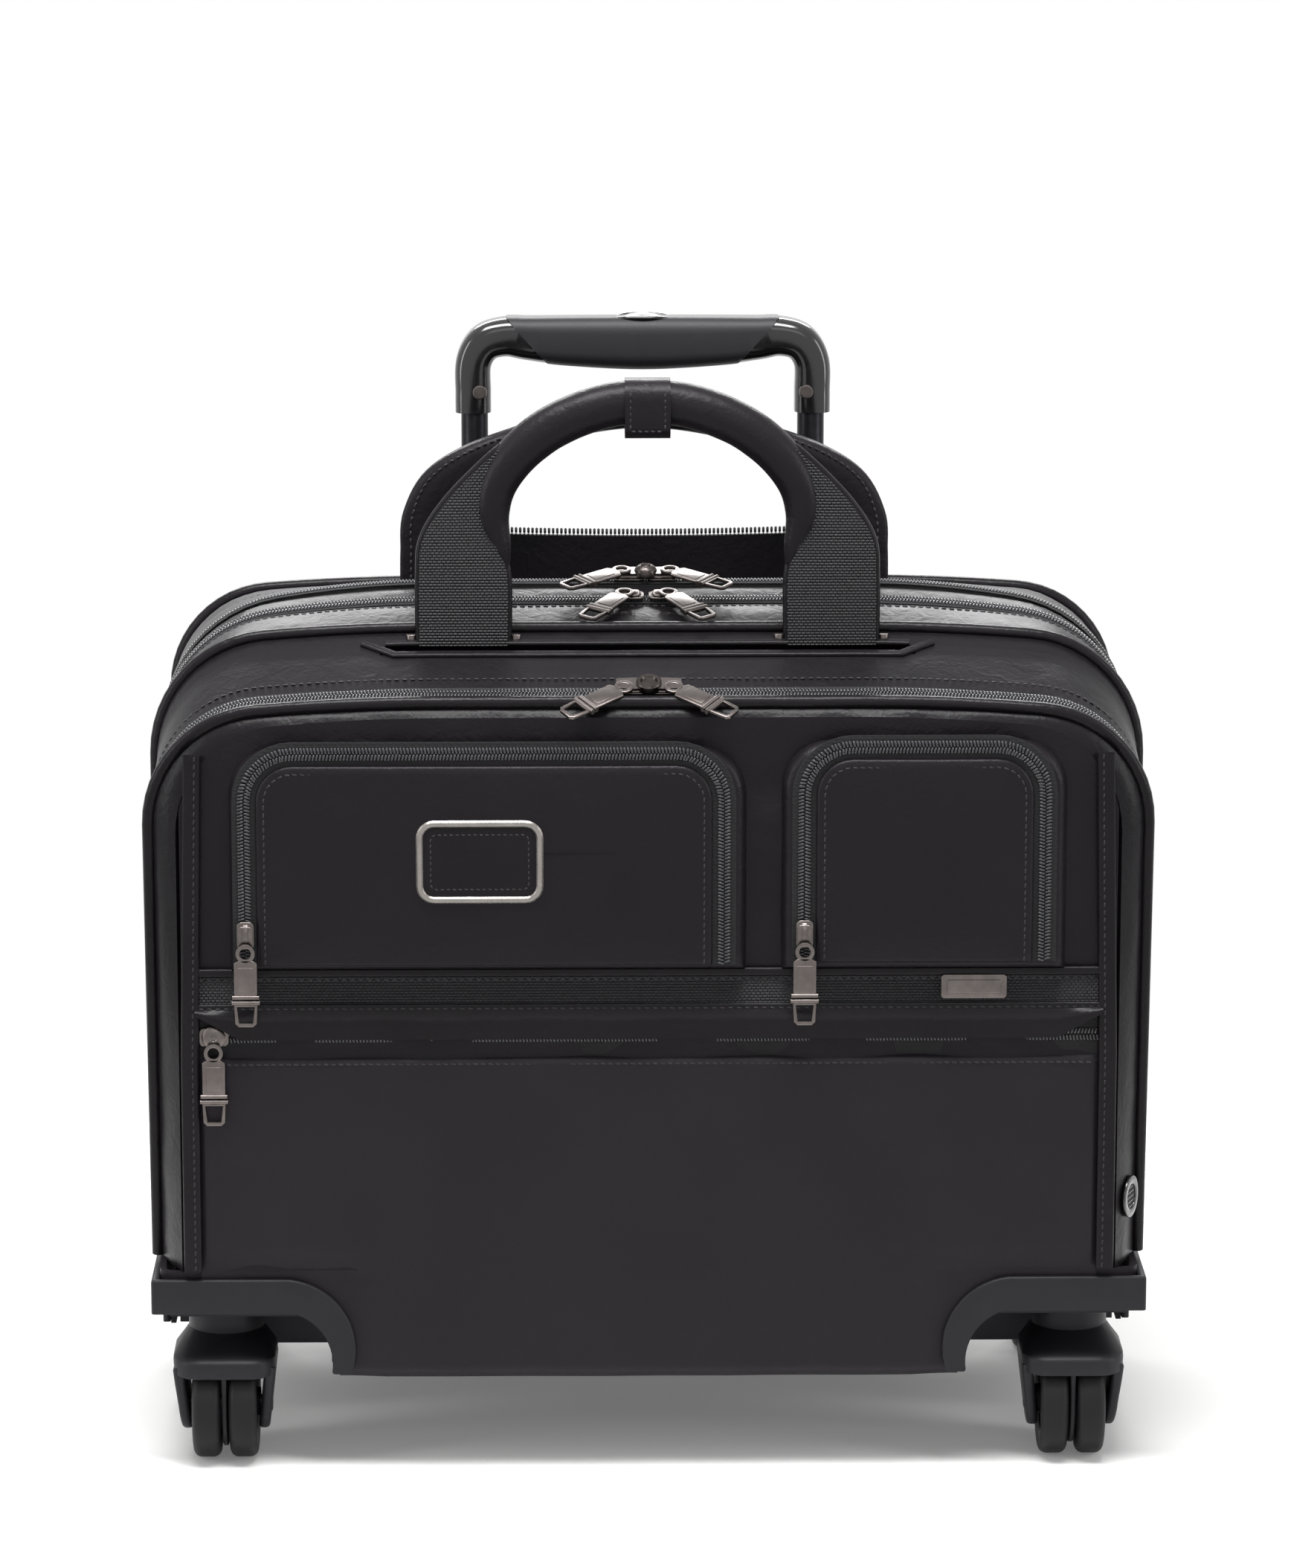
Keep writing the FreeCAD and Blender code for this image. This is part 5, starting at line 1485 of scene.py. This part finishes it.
def makeTrolleyBay():
    # leather wall with the open half of a zip along its top edge
    y = at["bay_wall"][0].y
    rows, edgeLine = [], []
    half, lip = 112.0, at["bay_wall"][1].z
    for i in range(61):
        x = -half + 2 * half * i / 60
        top = min(lip - 3.0 * (1 - (x / half) ** 2), topAt(x, y) + (half - abs(x)) * 1.7)
        rows.append([(x, y + 0.4 - ruffle((x, 6, 300 + j * 6), 20, 0.8, 31.0) * (1 - j / 14),
                      top - 60 + 60 * j / 14)
                     for j in range(15)])
        edgeLine.append((Vector((x, y + 0.6, top + 0.6)), Vector((0, 0, 1))))
    piece("bayWallLeather", "gussetLeather", grid(rows), "case", ["bay_wall"], sheet=True, thick=-3.0)
    teeth = [bead(p + up * 0.9, up, Vector((0, -1, 0)), 3.2, 0.62, 1.0)
             for p, along, up in spaced(edgeLine, 1.9)]
    piece("bayZipTeeth", "nylonCoil", teeth, "case")
    row = [(Vector((p.x, y - 0.1, p.z - 8.5)), Vector((0, -1, 0))) for p, n in edgeLine]
    piece("bayStitches", "threads", stitches(row, 3.4), "case")
    inner = halfWide - 6
    low = 76.0
    wall = [[(x, y + 1.6, low + (topAt(x, y) - 8 - low) * j / 20) for j in range(21)]
            for x in [-inner + 2 * inner * i / 40 for i in range(41)]]
    piece("bayLining", "lining", grid(wall), "case", sheet=True, thick=-1.2)


def makeInside():
    low, high = at["laptop_divider"]
    pad = plate(roundedRect(low.x + 3, high.x - 3, low.z + 1, high.z - 3, 18, 6), -0.4,
                high.y - low.y + 0.4, 2.2,
                axesAt((0, high.y, 0), (1, 0, 0), (0, 0, 1)))
    padObj = piece("laptopDivider", "lining", pad)
    swellPad(padObj, 4.0, 2.2)
    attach(padObj, "case")
    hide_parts("laptop_divider")
    edge = roundedRect(low.x + 2, high.x - 2, low.z + 1, high.z - 2, 19, 6)
    path = [(x, (low.y + high.y) / 2, z) for x, z in edge]
    piece("dividerBinding", "foldedLeather", sweep(path, circle(2.4, 10), up=(0, 1, 0), closed=True),
          "case")
    for name, y in (("slipWallFront", at["slip_pocket_walls"][0].y + 1.0),
                    ("slipWallBack", at["slip_pocket_walls"][1].y - 1.0)):
        inner = halfWide - 6
        rows = []
        for i in range(41):
            x = -inner + 2 * inner * i / 40
            top = topAt(x, y) - (1.5 if abs(x) < 116 else 5.0)
            rows.append([(x, y + ruffle((x, y, z), 40, 0.5, 41.0), z) for z in
                         [foldZ + 6 + (top - foldZ - 6) * j / 24 for j in range(25)]])
        piece(name, "lining", grid(rows), "front_section",
              ["slip_pocket_walls"] if name.endswith("Front") else [], sheet=True, thick=1.4)
    # leather lips of the slip pocket, with a short diagonal at each end
    lips = []
    for y, half, out in ((at["slip_pocket_walls"][0].y + 1.4, 112, -1),
                         (at["slip_pocket_walls"][1].y - 1.4, 116, 1)):
        ends = [(-126.0, y + 9.0), (-half, y)] if out < 0 else [(-half, y)]
        line = ends + [(-half + 2 * half * i / 30, y)
                       for i in range(1, 30)] + [(-a, b) for a, b in reversed(ends)]
        path = [(x, yy, topAt(x, yy) + 0.5) for x, yy in line]
        lips.append(sweep(path, roundedRect(-2.2, 2.2, -1.2, 1.2, 1.1, 4), up=(0, -0.35, 1)))
    piece("slipLips", "foldedLeather", lips, "front_section")


def swellPad(obj, pressure, cap):
    # stuffing by cloth simulation: remesh, inflate a little, then keep what stays under the cap
    scene = bpy.context.scene
    bpy.context.view_layer.objects.active = obj
    for other in bpy.context.selected_objects:
        other.select_set(False)
    obj.select_set(True)
    remesh = obj.modifiers.new("remesh", "REMESH")
    remesh.mode, remesh.voxel_size, remesh.use_smooth_shade = "VOXEL", 3.4 * mm, True
    bpy.ops.object.modifier_apply(modifier=remesh.name)
    rest = [v.co.copy() for v in obj.data.vertices]
    cloth = obj.modifiers.new("stuffing", "CLOTH")
    cloth.settings.quality = 6
    cloth.settings.use_pressure, cloth.settings.uniform_pressure_force = True, pressure
    cloth.settings.tension_stiffness = cloth.settings.compression_stiffness = 60
    cloth.settings.effector_weights.gravity = 0
    cloth.point_cache.frame_start, cloth.point_cache.frame_end = 1, 20
    for number in range(1, 21):
        scene.frame_set(number)
    graph = bpy.context.evaluated_depsgraph_get()
    puffed = [v.co.copy() for v in obj.evaluated_get(graph).data.vertices]
    obj.modifiers.remove(cloth)
    scene.frame_set(1)
    print("divider stuffed, vertices:", len(puffed))
    for vertex, was, now in zip(obj.data.vertices, rest, puffed):
        way = now - was
        vertex.co = was + (way if way.length < cap * mm else way.normalized() * cap * mm)
    obj.data.shade_smooth()


tagPart = {"width": 48.0, "low": 110.0, "high": 205.0, "thick": 4.6, "y": 25.0}


def makeTag():
    x, z = middle("luggage_tag").x, at["luggage_tag"][1].z - 3.1
    half, y = tagPart["width"] / 2, tagPart["y"]
    face = roundedRect(-half, half, tagPart["low"], tagPart["high"], 7, 6)
    card = plate(face, -tagPart["thick"] / 2, tagPart["thick"] / 2, 1.4,
                 axesAt((x, y, 0), (0, -1, 0), (0, 0, 1)))
    flapShape = plate(roundedRect(-half + 5, half - 5, tagPart["high"] - 40, tagPart["high"] - 3, 5, 5),
                      tagPart["thick"] / 2 - 0.2, tagPart["thick"] / 2 + 1.0, 0.5,
                      axesAt((x, y, 0), (0, -1, 0), (0, 0, 1)))
    piece("tagLeather", "napa", [card, flapShape], "luggage_tag", ["luggage_tag"], crease=45)
    rim = roundedRect(-half + 3, half - 3, tagPart["low"] + 3, tagPart["high"] - 3, 5, 6)
    rows = []
    for way in (-1, 1):
        row = [(Vector((x + way * (tagPart["thick"] / 2 + 0.1), y + u, v)), Vector((way, 0, 0)))
               for u, v in rim + rim[:1]]
        rows += stitches(row, 3.2)
    piece("tagStitches", "threads", rows, "luggage_tag")
    strap = smoothPath([(x + 1.2, y, 200), (x + 1.9, y, 222), (x + 2.6, y, 250), (x + 1.8, y, z + 2.0),
                        (x, y, z + 3.0),
                        (x - 1.9, y, z + 1.6), (x - 1.6, y, 250), (x - 1.2, y, 222), (x - 1.0, y, 200)], 6)
    piece("tagStrap", "foldedLeather", sweep(strap, roundedRect(-6, 6, -0.8, 0.8, 0.6, 3), up=(1, 0, 0),
                                             ups=[(1, 0, 0.3)] * len(strap)), "luggage_tag", crease=60)
    frameLine = roundedRect(-8.2, 8.2, 214, 231, 2, 4)
    buckle = sweep([(x - 2.2, y + u, v) for u, v in frameLine], circle(1.1, 8), up=(1, 0, 0), closed=True)
    tongue = sweep([(x - 2.6, y, 214), (x - 3.2, y, 224), (x - 2.6, y, 232)], circle(0.8, 8), up=(0, 1, 0))
    piece("tagBuckle", "gunmetal", [buckle, tongue], "luggage_tag", crease=40)
    soften("side_ring", "gunmetal", 0.4, 2)


makeBack()
makeTrolleyBay()
makeInside()
makeTag()
print("back, inside and tag made")
